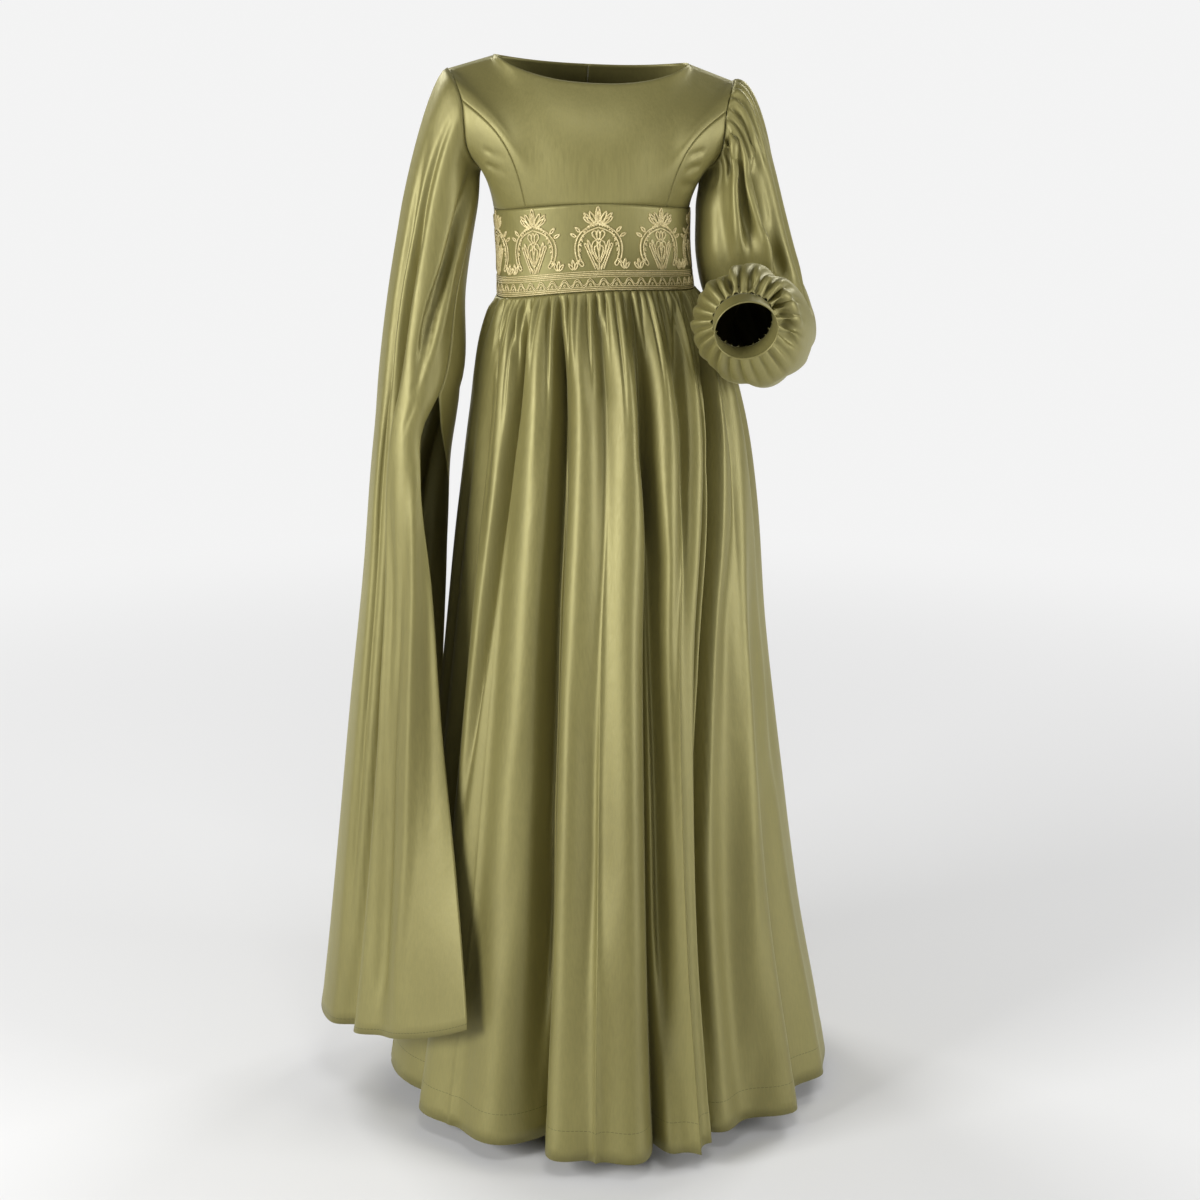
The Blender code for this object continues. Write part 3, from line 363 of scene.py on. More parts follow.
LONG_SLEEVE_CREASES = creases((
    (((-212, -34, -60), (-226, -40, -110), (-246, -46, -191), (-263, -50, -273), (-277, -53, -366),
      (-290, -56, -511), (-303, -57, -645), (-324, -65, -874), (-371, -66, -1330)), 8, 11, 0.15, 0.2),
    (((-236, -50, -180), (-260, -56, -299), (-269, -58, -361), (-279, -57, -456), (-289, -60, -588),
      (-312, -68, -868), (-358, -74, -1328)), 5.5, -5, 0.2, 0.2),
    (((-176, -40, -150), (-193, -52, -231), (-206, -62, -277), (-220, -77, -316), (-233, -82, -361),
      (-250, -88, -410)), 7.5, 12, 0.2, 0.3),
    (((-186, -50, -240), (-201, -66, -310), (-216, -82, -375)), 7, -5, 0.3, 0.4),
    (((-250, -89, -410), (-234, -88, -403), (-214, -81, -409)), 4.5, 5, 0.3, 0.3),
    (((-253, -90, -426), (-234, -90, -420), (-214, -81, -426)), 4, 4, 0.3, 0.3),
    (((-262, -94, -475), (-250, -95, -452), (-230, -90, -434)), 4.5, 4, 0.3, 0.3),
    (((-249, -100, -500), (-252, -110, -608), (-254, -115, -716), (-261, -125, -857), (-272, -149, -1069),
      (-291, -172, -1330)), 9, -7, 0.2, 0.1),
    (((-264, -105, -560), (-276, -107, -746), (-289, -114, -947), (-313, -140, -1330)), 10, 8, 0.3, 0.1),
    (((-235, -112, -640), (-236, -130, -900), (-232, -170, -1200)), 11, 6, 0.3, 0.3),
    (((-250, 80, -180), (-262, 105, -420), (-290, 118, -800), (-315, 130, -1330)), 11, 10, 0.2, 0.2),
    (((-215, 70, -160), (-225, 85, -340), (-248, 110, -620)), 9, -7, 0.2, 0.4),
    (((-260, 130, -700), (-268, 160, -1000), (-275, 185, -1330)), 11, 9, 0.3, 0.2),
), PER_METRE)
BODICE_CREASES = creases((
    (((150, -75, -112), (134, -90, -116), (117, -99, -121)), 5, 3, 0.3, 0.5),
    (((146, -70, -134), (130, -85, -136), (116, -92, -141)), 5, 3, 0.3, 0.5),
    (((142, -40, -156), (124, -73, -160), (110, -92, -150)), 5.5, 2.5, 0.3, 0.5),
    (((-154, -70, -108), (-138, -88, -116), (-120, -97, -122)), 5, 3, 0.3, 0.5),
    (((-150, -60, -130), (-134, -82, -136), (-118, -92, -142)), 5, 3, 0.3, 0.5),
    (((150, 60, -115), (130, 82, -122), (105, 94, -132)), 6, 3, 0.3, 0.5),
    (((-150, 60, -115), (-130, 82, -124), (-105, 94, -136)), 6, 3, 0.3, 0.5),
    (((60, 98, -60), (20, 105, -85), (-30, 106, -80)), 9, 1.8, 0.4, 0.4),
), PER_METRE)

# Studio light, satin, its stitches and the gold cord on the band
SOFT_LIGHT, FAR_FLOOR = 0.11, 0.90
Lamp = namedtuple("Lamp", "name place power size")
LAMPS = rows_of(
    Lamp,
    ("front_left", (-2.7, -1.8, 0.1), 100.0, 1.4),
    ("front_right", (2.8, -1.5, -0.2), 58.0, 1.4),
    ("above", (0.0, -1.9, 1.9), 18.0, 0.9),
    ("behind_left", (-1.8, 2.4, 1.4), 60.0, 1.4),
    ("behind_right", (2.0, 2.2, 1.2), 44.0, 1.4),
)
LAMP_TARGET = (0.0, 0.0, -0.6)
CAMERA_PLACE = (-0.2687, -3.5604, 0.25)
CAMERA_TURN = (74.3, 0.0, -4.5)
CAMERA_LENS, CAMERA_SENSOR = 78.0, 36.0
FLOOR_RADIUS, FLOOR_DROP = 9.0, 0.03
FLOOR_FADE_START, FLOOR_FADE_END = 1.6, 3.6

SATIN_TONES = ((0.202, 0.178, 0.056), (0.252, 0.226, 0.076))
THREAD_TONES, THREAD_SHARE = ((0.90, 0.90, 0.90), (1.06, 1.06, 1.06)), 0.6
SATIN_ROUGHNESS = (0.46, 0.54)
SATIN_FINISH = {
    "Metallic": 0.35,
    "Specular IOR Level": 0.80,
    "Specular Tint": (0.98, 0.97, 0.80, 1.0),
    "Sheen Weight": 0.12,
    "Sheen Roughness": 0.35,
    "Sheen Tint": (0.95, 0.92, 0.62, 1.0),
}
STITCH_LENGTH, STITCH_THREAD, STITCH_SPACING = 0.003, 0.0004, 0.25
STITCH_COLOUR = (0.1111, 0.0979, 0.028, 1.0)
# Gold cord colours: the darker one is painted shade in the hollows of the twist, the brighter one a painted
# highlight on its crests
GOLD_SHADE_AND_HIGHLIGHT = ((0.46, 0.365, 0.150), (0.93, 0.820, 0.470))
GOLD_WEAR = ((0.82, 0.80, 0.74), (1.0, 1.0, 1.0))
Noise = namedtuple("Noise", "scale stretch detail")
NOISE_ROUGHNESS = 0.55
TONE = Noise(5.0, (1.0, 1.0, 0.45), 3.0)
SLUB = Noise(420.0, (1.0, 1.0, 0.05), 2.0)
WEAVE = Noise(1600.0, (1.0, 1.0, 0.6), 1.0)
CRINKLE = Noise(55.0, (1.0, 1.0, 0.55), 3.0)
CRINKLE_DEPTH, SLUB_DEPTH, WEAVE_DEPTH, BUMP_STRENGTH = 0.0010, 0.00012, 0.00005, 0.55
TWIST = Noise(900.0, (1.0, 1.0, 1.0), 2.0)
WEAR = Noise(90.0, (1.0, 1.0, 1.0), 2.0)

# Embroidery, in millimetres above the waist. Cord radii are in metres.
CORD_SIDES = 5
CORD_RADIUS, THIN_CORD_RADIUS, CORD_LIFT = 0.0011, 0.0007, 0.0007
BAND_START, BAND_END, BAND_STEPS = 180.2, 539.8, 240
MOTIF_COUNT = 9
MOTIF_FOOT = 29.5
BEAD_COUNT = 11
BORDER_LINES = ((2.4, 0.0008), (4.8, 0.0008), (7.2, 0.0006), (20.4, 0.0007), (23.0, 0.0008),
                (25.2, 0.0008), (27.8, 0.0007))
ZIGZAG_WAVES, ZIGZAG_HEIGHT, ZIGZAG_STEPS = 48, 4.4, 10
ZIGZAG_ROWS = (13.9, 11.2)
RING_HEIGHT, RING_RADIUS = 10.2, 1.3

# Columns for how a piece is cut: the flat size in metres, its area, and how it is held. Nothing here uses
# them.
Cut = namedtuple("Cut", "flat area held")


def unit(vector):
    return vector / np.maximum(np.linalg.norm(vector, axis=-1, keepdims=True), 1e-12)


def smooth(value):
    """0 to 1 with level ends."""
    value = np.clip(value, 0.0, 1.0)
    return value * value * (3.0 - 2.0 * value)


def mix(first, second, share):
    return first + (second - first) * share


@lru_cache(maxsize=None)
def table_values(rows, key):
    """A table's key column, its other columns and their slopes, lowest key first."""
    flat = np.array([np.concatenate([np.atleast_1d(cell) for cell in row if not isinstance(cell, str)])
                     for row in rows], float)
    knots = np.array([getattr(row, key) for row in rows], float)
    if knots[0] > knots[-1]:
        knots, flat = knots[::-1], flat[::-1]
    return knots, flat, np.gradient(flat, knots, axis=0)


def read_table(rows, key, at):
    """The rows of the table at values of its first column, on smooth curves through its rows."""
    knots, flat, slopes = table_values(rows, key)
    at = np.clip(at, knots[0], knots[-1])
    i = np.minimum(np.searchsorted(knots, at, side="right") - 1, len(knots) - 2)
    gap = knots[i + 1] - knots[i]
    t = np.expand_dims((at - knots[i]) / gap, -1)
    gap = np.expand_dims(gap, -1)
    return curved(flat[i], gap * slopes[i], flat[i + 1], gap * slopes[i + 1], t)


def curved(start, start_slope, end, end_slope, t):
    """A point between two places, whose curve leaves and arrives along the slopes."""
    return ((2 * t**3 - 3 * t**2 + 1) * start + (t**3 - 2 * t**2 + t) * start_slope
            + (3 * t**2 - 2 * t**3) * end + (t**3 - t**2) * end_slope)


def bezier(ends, t):
    """A point of the curve with four control points."""
    a, b, c, d = (np.asarray(end, float) for end in ends)
    return (1 - t)**3 * a + 3 * (1 - t)**2 * t * b + 3 * (1 - t) * t**2 * c + t**3 * d


def posed(points):
    """Moves points from the upright figure to the way that it stands."""
    points = np.array(points, float, order="C")
    row = read_table(POSTURE, "z", points[..., 2])
    points[..., 2] += row[..., 2] * points[..., 0]
    points[..., 0] += row[..., 1]
    return points


def distance_to_line(points, line):
    """How far each point is from a line through several points, and how far along it, 0 to 1."""
    line = np.array(line, float)
    steps = np.linalg.norm(np.diff(line, axis=0), axis=1)
    reached = np.concatenate([[0.0], np.cumsum(steps)]) / steps.sum()
    best = np.full(points.shape[:-1], 1e9)
    along = np.zeros(points.shape[:-1])
    for number, (start, end) in enumerate(zip(line[:-1], line[1:])):
        way = end - start
        share = np.clip(((points - start) @ way) / (way @ way), 0.0, 1.0)
        away = np.linalg.norm(points - start - share[..., None] * way, axis=-1)
        nearer = away < best
        best = np.where(nearer, away, best)
        along = np.where(nearer, mix(reached[number], reached[number + 1], share), along)
    return best, along


def creased(points, normals, creases, guard=None, strength=CREASE_STRENGTH):
    """The cloth pressed in along each crease and raised along each ridge, softly at their ends."""
    shift = np.zeros(points.shape[:-1])
    for crease in creases:
        away, along = distance_to_line(points, crease.line)
        taper = smooth(along / crease.start) * smooth((1.0 - along) / crease.end)
        width = crease.width * mix(0.7, 1.3, along)
        shift += strength * crease.depth * np.exp(-(away / width) ** 2) * taper
    if guard is not None:
        shift = shift * guard
    return points - unit(normals) * shift[..., None]


def normals_of(rings, closed=False):
    """Wall directions on a grid whose columns run to the wearer's left, longer where it folds sharply."""
    if closed:
        rings = np.concatenate([rings[:, -1:], rings, rings[:, :1]], axis=1)
    faces = unit(np.cross(rings[1:, 1:] - rings[:-1, :-1], rings[:-1, 1:] - rings[1:, :-1]))
    rows, columns = rings.shape[:2]
    total = np.zeros((rows, columns, 3))
    for down in (0, 1):
        for across in (0, 1):
            total[down:rows - 1 + down, across:columns - 1 + across] += faces
    normals = unit(total)
    least = np.ones((rows, columns))
    for down in (0, 1):
        for across in (0, 1):
            block = np.sum(normals[down:rows - 1 + down, across:columns - 1 + across] * faces, axis=-1)
            part = least[down:rows - 1 + down, across:columns - 1 + across]
            np.minimum(part, block, out=part)
    normals /= np.clip(least, 0.6, 1.0)[..., None]
    return normals[:, 1:-1] if closed else normals


def level_normals(normals):
    """The same directions with no up or down, for walls that meet at a level seam."""
    flat = normals.copy()
    flat[..., 2] = 0.0
    return unit(flat)


def inset(rings, amount=SEAM_GAP / 2, sides=True):
    """The grid drawn in from its edges, which leaves the gap at each seam."""
    rings = rings.copy()
    rings[0] += unit(rings[1] - rings[0]) * amount
    rings[-1] += unit(rings[-2] - rings[-1]) * amount
    if sides:
        rings[:, 0] += unit(rings[:, 1] - rings[:, 0]) * amount
        rings[:, -1] += unit(rings[:, -2] - rings[:, -1]) * amount
    return rings


def new_piece(name, mesh, finish):
    """Makes a smooth piece of the dress from its faces."""
    bmesh.ops.recalc_face_normals(mesh, faces=list(mesh.faces))
    data = bpy.data.meshes.new(name)
    mesh.to_mesh(data)
    mesh.free()
    data.shade_smooth()
    data.materials.append(finish)
    piece = bpy.data.objects.new(name, data)
    bpy.context.scene.collection.objects.link(piece)
    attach(piece, "root")
    return piece


def cloth(name, rings, normals, finish, closed=False):
    """A thin cloth shell on a grid of points, which stands for the solid of the same name."""
    rows, columns = rings.shape[:2]
    width = columns + closed
    wrapped = np.concatenate([rings, rings[:, :1]], axis=1) if closed else rings
    along = np.zeros((rows, width))
    along[:, 1:] = np.cumsum(np.linalg.norm(np.diff(wrapped, axis=1), axis=-1), axis=1)
    fall = np.zeros((rows, width))
    fall[:-1] = np.cumsum(np.linalg.norm(np.diff(wrapped, axis=0), axis=-1)[::-1], axis=0)[::-1]
    mesh = bmesh.new()
    bmesh.ops.create_grid(mesh, x_segments=width - 1, y_segments=rows - 1, size=1.0)
    station = mesh.verts.layers.int.new("station")
    cloth_map = mesh.loops.layers.uv.new("cloth")
    mesh.verts.ensure_lookup_table()
    grid = list(mesh.verts)
    for index, vertex in enumerate(grid):
        row, column = divmod(index, width)
        vertex[station] = row * columns + column % columns
        vertex.co = wrapped[row, column]
        for loop in vertex.link_loops:
            loop[cloth_map].uv = (along[row, column], fall[row, column])
    if closed:
        joined = {grid[row * width + columns]: grid[row * width] for row in range(rows)}
        bmesh.ops.weld_verts(mesh, targetmap=joined)
    outer = list(mesh.faces)
    inner = bmesh.ops.extrude_face_region(mesh, geom=outer, use_keep_orig=True)
    for vertex in inner["geom"]:
        if isinstance(vertex, bmesh.types.BMVert):
            row, column = divmod(vertex[station], columns)
            vertex.co = rings[row, column] - CLOTH * normals[row, column]
    piece = new_piece(name + "_cloth", mesh, finish)
    piece.data.attributes.remove(piece.data.attributes["station"])
    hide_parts(name)


def eased(rings, times):
    """The grid with its inside points drawn to the middle of their neighbours, as cloth spans hollows."""
    rings = rings.copy()
    for _ in range(times):
        middle = (rings[2:, 1:-1] + rings[:-2, 1:-1] + rings[1:-1, 2:] + rings[1:-1, :-2]) / 4.0
        rings[1:-1, 1:-1] = mix(rings[1:-1, 1:-1], middle, 0.8)
    return rings


def edge_guard(rings, sides=True):
    """1 inside a panel and 0 at its edges, so that creases leave the seams where they are."""
    rows, columns = rings.shape[:2]
    down = np.arange(rows)[:, None] / (rows - 1.0)
    guard = smooth(down / 0.03) * smooth((1.0 - down) / 0.03) if rows > 12 else np.ones((rows, 1))
    if not sides:
        return np.broadcast_to(guard, (rows, columns))
    across = np.arange(columns)[None, :] / (columns - 1.0)
    return guard * smooth(across / 0.05) * smooth((1.0 - across) / 0.05)


def seamed(rings, normals, top=True):
    """The panel with its sewn edges pressed in a little, as a seam allowance pulls them."""
    shift = np.zeros(rings.shape[:2])
    shift[:, 0] = shift[:, -1] = SEAM_PRESS
    if top:
        shift[0] = shift[-1] = SEAM_PRESS
    return rings - unit(normals) * shift[..., None]


def hemmed(rings, normals, depth):
    """The panel with a turned hem: thicker below the stitch line, with a fine groove along it."""
    fall = np.zeros(rings.shape[:2])
    fall[:-1] = np.cumsum(np.linalg.norm(np.diff(rings, axis=0), axis=-1)[::-1], axis=0)[::-1]
    proud = HEM_PROUD * (1.0 - smooth((fall - depth + 0.004) / 0.008))
    groove = HEM_GROOVE * np.exp(-((fall - depth - 0.003) / 0.006) ** 2)
    return rings + unit(normals) * (proud - groove)[..., None]


def torso_ring(level, angle):
    """A point of the waistband, level 0 at its top and 1 at the waist. Angle 0 is the centre front."""
    _, half_width, front, back = read_table(BAND_RINGS, "level", level)
    turn = math.radians(angle)
    forward = max(math.cos(turn), 0.0) ** 2
    top = BAND_TOP_Z + BAND_TOP_ARCH * forward
    foot = WAIST_Z + WAIST_ARCH * forward
    depth = front if math.cos(turn) > 0 else back
    return np.array([half_width * math.sin(turn), -depth * math.cos(turn), mix(top, foot, level)])


def armhole(angle):
    """A point of the wearer's left armhole, before the posture."""
    return read_table(ARMHOLE, "angle", angle % 360.0)[1:]


def both_sides(table):
    """The rows of a table of columns, with the same ones on the other side of the centre line."""
    other = [Column(-row.column, -row.foot_angle, (-row.low[0], *row.low[1:]), (-row.high[0], *row.high[1:]))
             for row in reversed(table[1:])]
    return tuple(other) + tuple(table)


def bodice_top(column, front):
    """Where a column of the bodice ends: on the neck, the shoulder seam or the armhole."""
    if column <= NECK_COLUMN:
        turn = math.radians(90.0 * column / NECK_COLUMN)
        y, z = (NECK_FRONT_Y, NECK_FRONT_Z) if front else (NECK_BACK_Y, NECK_BACK_Z)
        return np.array([NECK_HALF_WIDTH * math.sin(turn), y * max(math.cos(turn), 0.0) ** 0.85,
                         mix(z, NECK_SIDE_Z, math.sin(turn) ** 2.4)])
    if column <= SHOULDER_COLUMN:
        share = (column - NECK_COLUMN) / (SHOULDER_COLUMN - NECK_COLUMN)
        return np.array([mix(NECK_HALF_WIDTH, SHOULDER_HALF_WIDTH, share), 0.0,
                         mix(NECK_SIDE_Z, SHOULDER_Z, share)])
    step = 360.0 / ARMHOLE_STATIONS * (column - SHOULDER_COLUMN)
    return armhole(step if front else -step)


def bodice_half(front):
    """Rows of one half of the bodice, from the centre line to the side seam."""
    table = both_sides(FRONT_COLUMNS if front else BACK_COLUMNS)
    columns = []
    for column in np.linspace(0.0, SIDE_COLUMN, SIDE_COLUMN * FINE + 1):
        row = read_table(table, "column", column)
        foot = torso_ring(0.0, row[1] if front else 180.0 - row[1])
        head = bodice_top(column, front)
        ends = (foot, row[2:5], row[5:8], head)
        columns.append([bezier(ends, 1.0 - step / BODICE_ROWS) for step in range(BODICE_ROWS + 1)])
    return np.array(columns).transpose(1, 0, 2)


def bodice_grid(front):
    """The whole front or back: rows from the neck down, columns towards the wearer's left."""
    half = bodice_half(front)
    mirrored = half[:, :0:-1] * np.array([-1.0, 1.0, 1.0])
    whole = np.concatenate([mirrored, half], axis=1)
    rings = eased(posed(whole), BODICE_EASING)
    normals = normals_of(rings) * (1.0 if front else -1.0)
    normals[-1] = level_normals(normals[-1])
    normals[:, 0] = (-1.0, 0.0, 0.0)
    normals[:, -1] = (1.0, 0.0, 0.0)
    rise = unit(np.array([NECK_SIDE_Z - SHOULDER_Z, 0.0, SHOULDER_HALF_WIDTH - NECK_HALF_WIDTH]))
    for column in range(NECK_COLUMN * FINE, (SHOULDER_COLUMN + 4) * FINE):
        share = smooth(max(column / FINE - SHOULDER_COLUMN, 0) / 4)
        for side in (-1.0, 1.0):
            place = SIDE_COLUMN * FINE + int(side) * column
            normals[0, place] = unit(mix(rise * (side, 1.0, 1.0), unit(normals[0, place]), share))
    return rings, normals


def make_bodice(satin):
    """Front in three panels with princess seams, back in two with a seam down its centre."""
    front, front_normals = bodice_grid(True)
    back, back_normals = bodice_grid(False)
    middle, seam, last = SIDE_COLUMN * FINE, PRINCESS_COLUMN * FINE, 2 * SIDE_COLUMN * FINE
    panels = (("bodice_front_centre", front, front_normals, middle - seam, middle + seam),
              ("bodice_side_front_right", front, front_normals, 0, middle - seam),
              ("bodice_side_front_left", front, front_normals, middle + seam, last),
              ("bodice_back_right", back, back_normals, 0, middle),
              ("bodice_back_left", back, back_normals, middle, last))
    for name, grid, facing, start, end in panels:
        part = slice(start, end + 1)
        panel = creased(grid[:, part], facing[:, part], BODICE_CREASES, edge_guard(grid[:, part]))
        cloth(name, seamed(inset(panel), facing[:, part]), facing[:, part], satin)
    return front, front_normals, back, back_normals


def make_waistband(satin):
    """Front in one piece, back in two, plain rings between the bust and the waist."""
    parts = (("waistband_front", -90, 90, 160), ("waistband_back_left", 90, 180, 80),
             ("waistband_back_right", 180, 270, 80))
    for name, start, end, steps in parts:
        angles = np.linspace(start, end, steps + 1)
        levels = np.linspace(0, 1, BAND_ROWS + 1)
        rings = posed([[torso_ring(level, angle) for angle in angles] for level in levels])
        cloth(name, inset(rings), level_normals(normals_of(rings)), satin)


def gather_height(column):
    """How far the points of a gathered edge stand out, about -1 where a stitch pulls them in."""
    place = (np.asarray(column, float) + 1.0) / POINTS_PER_GATHER
    share = place % 1.0
    uneven = np.array(GATHER_UNEVENNESS)[np.floor(place).astype(int) % len(GATHER_UNEVENNESS)]
    return uneven * (2.0 * np.sin(math.pi * share ** 0.85) ** 0.7 - 1.0)


def gather_reach(column):
    """How far down the skirt each gather runs before it opens out."""
    place = (np.asarray(column, float) + 1.0) / POINTS_PER_GATHER
    return np.array(GATHER_REACHES)[np.floor(place).astype(int) % len(GATHER_REACHES)]


def skirt_creases(angle, level):
    """How far the listed creases press the skirt in at each angle and level."""
    shift = np.zeros(np.broadcast(angle, level).shape)
    for crease in SKIRT_CREASES:
        angles = np.array([place[0] for place in crease.line])
        levels = np.array([place[1] for place in crease.line])
        centre = np.interp(level, levels, angles)
        along = np.clip((level - levels[0]) / (levels[-1] - levels[0]), 0.0, 1.0)
        inside = (level >= levels[0]) & (level <= levels[-1])
        taper = smooth(along / crease.start) * smooth((1.0 - along) / crease.end) * inside
        away = (angle - centre + 180.0) % 360.0 - 180.0
        shift = shift + crease.depth * np.exp(-(away / crease.width) ** 2) * taper
    return shift


def make_skirt(satin):
    """Gathered skirt: one front and two back panels, whose seams run down the tops of three folds."""
    per_fold = GATHERS_PER_FOLD * POINTS_PER_GATHER
    count = len(SKIRT_FOLDS) * per_fold * SKIRT_FINE
    column = np.arange(count + 1) / SKIRT_FINE
    level = (np.linspace(0.0, 1.0, SKIRT_ROWS + 1) ** SKIRT_ROW_POWER)[:, None]
    folds = np.array(SKIRT_FOLDS, float)
    number = np.floor(column / per_fold).astype(int)
    first = SkirtFold(*folds[number % len(folds)].T)
    following = SkirtFold(*folds[(number + 1) % len(folds)].T)
    share = column / per_fold - number
    turn = 1.0 - (1.0 - level) ** 3
    start = mix(first.waist, first.hem, turn)
    end = mix(following.waist, following.hem, turn)
    end = np.where(end < start, end + 360.0, end)
    roundness = FOLD_ROUNDNESS * smooth(level / 0.25)
    spread = share - roundness * np.sin(2.0 * math.pi * share) / (2.0 * math.pi)
    crest = 0.45 * np.sin(math.pi * share) + 0.55 * np.sin(math.pi * share) ** 2
    depth = mix(skirt_depth(first, level), skirt_depth(following, level), share) * (1.0 - crest)
    lean = mix(first.lean, following.lean, share) * (1.0 - crest) * level
    angle = np.radians(mix(start, end, spread) + lean)
    _, half_width, front, back = np.moveaxis(
        read_table(SKIRT_RINGS, "drop", level[:, 0] * SKIRT_RINGS[-1].drop), -1, 0)[:, :, None]
    gathered = GATHER_HEIGHT * gather_height(column) * mix(0.3, 1.0, smooth(level / 0.014))
    gathered = gathered * (1.0 - smooth(level / gather_reach(column)))
    out = gathered - depth + first.swell * crest**2 * smooth(level)
    out = out - skirt_creases(np.degrees(angle), level)
    forward = np.maximum(np.cos(angle), 0.0) ** 2
    waist = WAIST_Z + WAIST_ARCH * forward
    reach = np.where(np.cos(angle) > 0, front, back) + out
    rings = posed(np.stack([(half_width + out) * np.sin(angle), -reach * np.cos(angle),
                            mix(waist, HEM_Z, level)], axis=-1))
    wrapped = np.concatenate([rings[:, -2:-1], rings, rings[:, 1:2]], axis=1)
    normals = normals_of(wrapped)[:, 1:-1]
    normals[0] = level_normals(normals[0])
    whole = per_fold * SKIRT_FINE
    left_side, centre_back, right_side = (fold * whole + whole // 2 for fold in
                                          (LEFT_SIDE_FOLD, CENTRE_BACK_FOLD, RIGHT_SIDE_FOLD))
    round_again = np.concatenate([np.arange(right_side, count), np.arange(0, left_side + 1)])
    panels = (("skirt_front", round_again), ("skirt_back_left", np.arange(left_side, centre_back + 1)),
              ("skirt_back_right", np.arange(centre_back, right_side + 1)))
    for name, chosen in panels:
        panel = seamed(inset(rings[:, chosen]), normals[:, chosen], top=False)
        cloth(name, hemmed(panel, normals[:, chosen], SKIRT_HEM), normals[:, chosen], satin)


def skirt_depth(fold, level):
    """How deep a fold is at a level of the skirt, 0 at the waist and 1 at the hem."""
    above = fold.hip_depth * (0.3 * smooth(level / 0.015) + 0.7 * smooth(level / HIP_LEVEL))
    share = np.clip((level - HIP_LEVEL) / (1.0 - HIP_LEVEL), 0.0, 1.0)
    power = np.where(fold.hem_depth > fold.hip_depth, 0.8, 0.4)
    return np.where(level < HIP_LEVEL, above, mix(fold.hip_depth, fold.hem_depth, share ** power))


def armhole_seam(grids, side):
    """The bodice's armhole edge, finely divided: points, wall directions and the way out of it."""
    front, front_normals, back, back_normals = grids
    first, last = SHOULDER_COLUMN * FINE, SIDE_COLUMN * FINE
    reach = [last + side * column for column in range(first, last + 1)]
    points = [front[0, column] for column in reach] + [back[0, column] for column in reach[-2:0:-1]]
    facing = [front_normals[0, column] for column in reach]
    facing += [back_normals[0, column] for column in reach[-2:0:-1]]
    points, facing = np.array(points), unit(np.array(facing))
    along = np.roll(points, -1, axis=0) - np.roll(points, 1, axis=0)
    way_out = unit(np.cross(facing, along)) * side
    return points, facing, way_out


def sleeve_start(seam, facing, way_out, angle, shape):
    """The first point of a sleeve's column, its wall's outward direction and the way that it leaves."""
    top = 0.5 + 0.5 * math.cos(math.radians(angle))
    turn = math.radians(mix(shape.under_turn, shape.top_turn, top ** 0.7))
    leave = way_out * math.cos(turn) + facing * math.sin(turn)
    reach = leave * mix(shape.under_reach, shape.top_reach, top)
    reach = reach + np.array([0.0, 0.0, shape.lift * top ** 3])
    leave = unit(reach)
    normal = unit(facing - leave * (facing @ leave))
    return seam + leave * SEAM_GAP / 3 * math.sin(turn), normal, reach


def long_sleeve_point(panel, share, z):
    """A point of the long sleeve: share runs from the outer edge to the slit on the front, and back again."""
    row = read_table(LONG_SLEEVE, "z", z)[1:].reshape(7, 2)
    out, fore, side, edge, back_edge, inner, rear = row
    if z > SLIT_TOP_Z - 0.001:
        back_edge = edge
    ends = (out, fore, side, edge) if panel == "front" else (back_edge, inner, rear, out)
    point = bezier(ends, share)
    tangent = bezier(ends, min(share + 0.01, 1.0)) - bezier(ends, max(share - 0.01, 0.0))
    inward = np.array([-tangent[1], tangent[0]]) / np.linalg.norm(tangent)
    for fold in LONG_SLEEVE_FOLDS:
        if fold.panel != panel or not fold.low_z < z < fold.top_z:
            continue
        along = (fold.top_z - z) / (fold.top_z - fold.low_z)
        centre = mix(fold.top_share, fold.mid_share, min(along * 2, 1.0))
        centre = mix(centre, fold.low_share, max(along * 2 - 1, 0.0))
        fade = smooth(along / 0.2) * (smooth((1 - along) / 0.35) if fold.low_z > SLIT_TOP_Z - 0.1 else 1.0)
        fade *= smooth(share / 0.1) * smooth((1.0 - share) / 0.1)
        point = point + inward * fold.depth * fade * math.exp(-((share - centre) / fold.width) ** 2)
    return np.array([point[0], point[1], z])


def long_sleeve_panel(panel, seam, facing, way_out):
    """Rows of one panel of the long sleeve from the armhole to the hem, and their outward directions."""
    count = len(seam)
    head_z = LONG_SLEEVE[0].z
    columns, first = [], []
    for column in range(count // 2 + 1):
        station = (column + (0 if panel == "front" else count // 2)) % count
        share = column / (count // 2)
        angle = 180.0 * share if panel == "front" else 180.0 + 180.0 * share
        end = long_sleeve_point(panel, share, head_z)
        slope = (long_sleeve_point(panel, share, head_z - 0.02) - end) * 6.0
        start, normal, leave = sleeve_start(seam[station], facing[station], way_out[station], angle,
                                            LONG_SLEEVE_HEAD)
        first.append(normal)
        rise = LONG_SLEEVE_HEM_RISE * (share if panel == "front" else 1.0 - share) ** 2
        foot = LONG_SLEEVE_HEM_Z + rise
        line = [curved(start, leave, end, slope, row / LONG_HEAD_ROWS) for row in range(LONG_HEAD_ROWS)]
        for row in range(LONG_TUBE_ROWS + 1):
            line.append(long_sleeve_point(panel, share, mix(head_z, SLIT_TOP_Z, row / LONG_TUBE_ROWS)))
        for row in range(1, LONG_OPEN_ROWS + 1):
            line.append(long_sleeve_point(panel, share, mix(SLIT_TOP_Z, foot, row / LONG_OPEN_ROWS)))
        columns.append(line)
    rings = np.array(columns).transpose(1, 0, 2)
    normals = normals_of(rings)
    normals[0] = first
    return rings, normals


def mitred(first, second):
    """One direction for two walls that meet at an edge, as long as the corner needs."""
    between = unit(unit(first) + unit(second))
    cosine = np.sum(between * unit(first), axis=-1, keepdims=True)
    return between / np.maximum(cosine, 0.6)


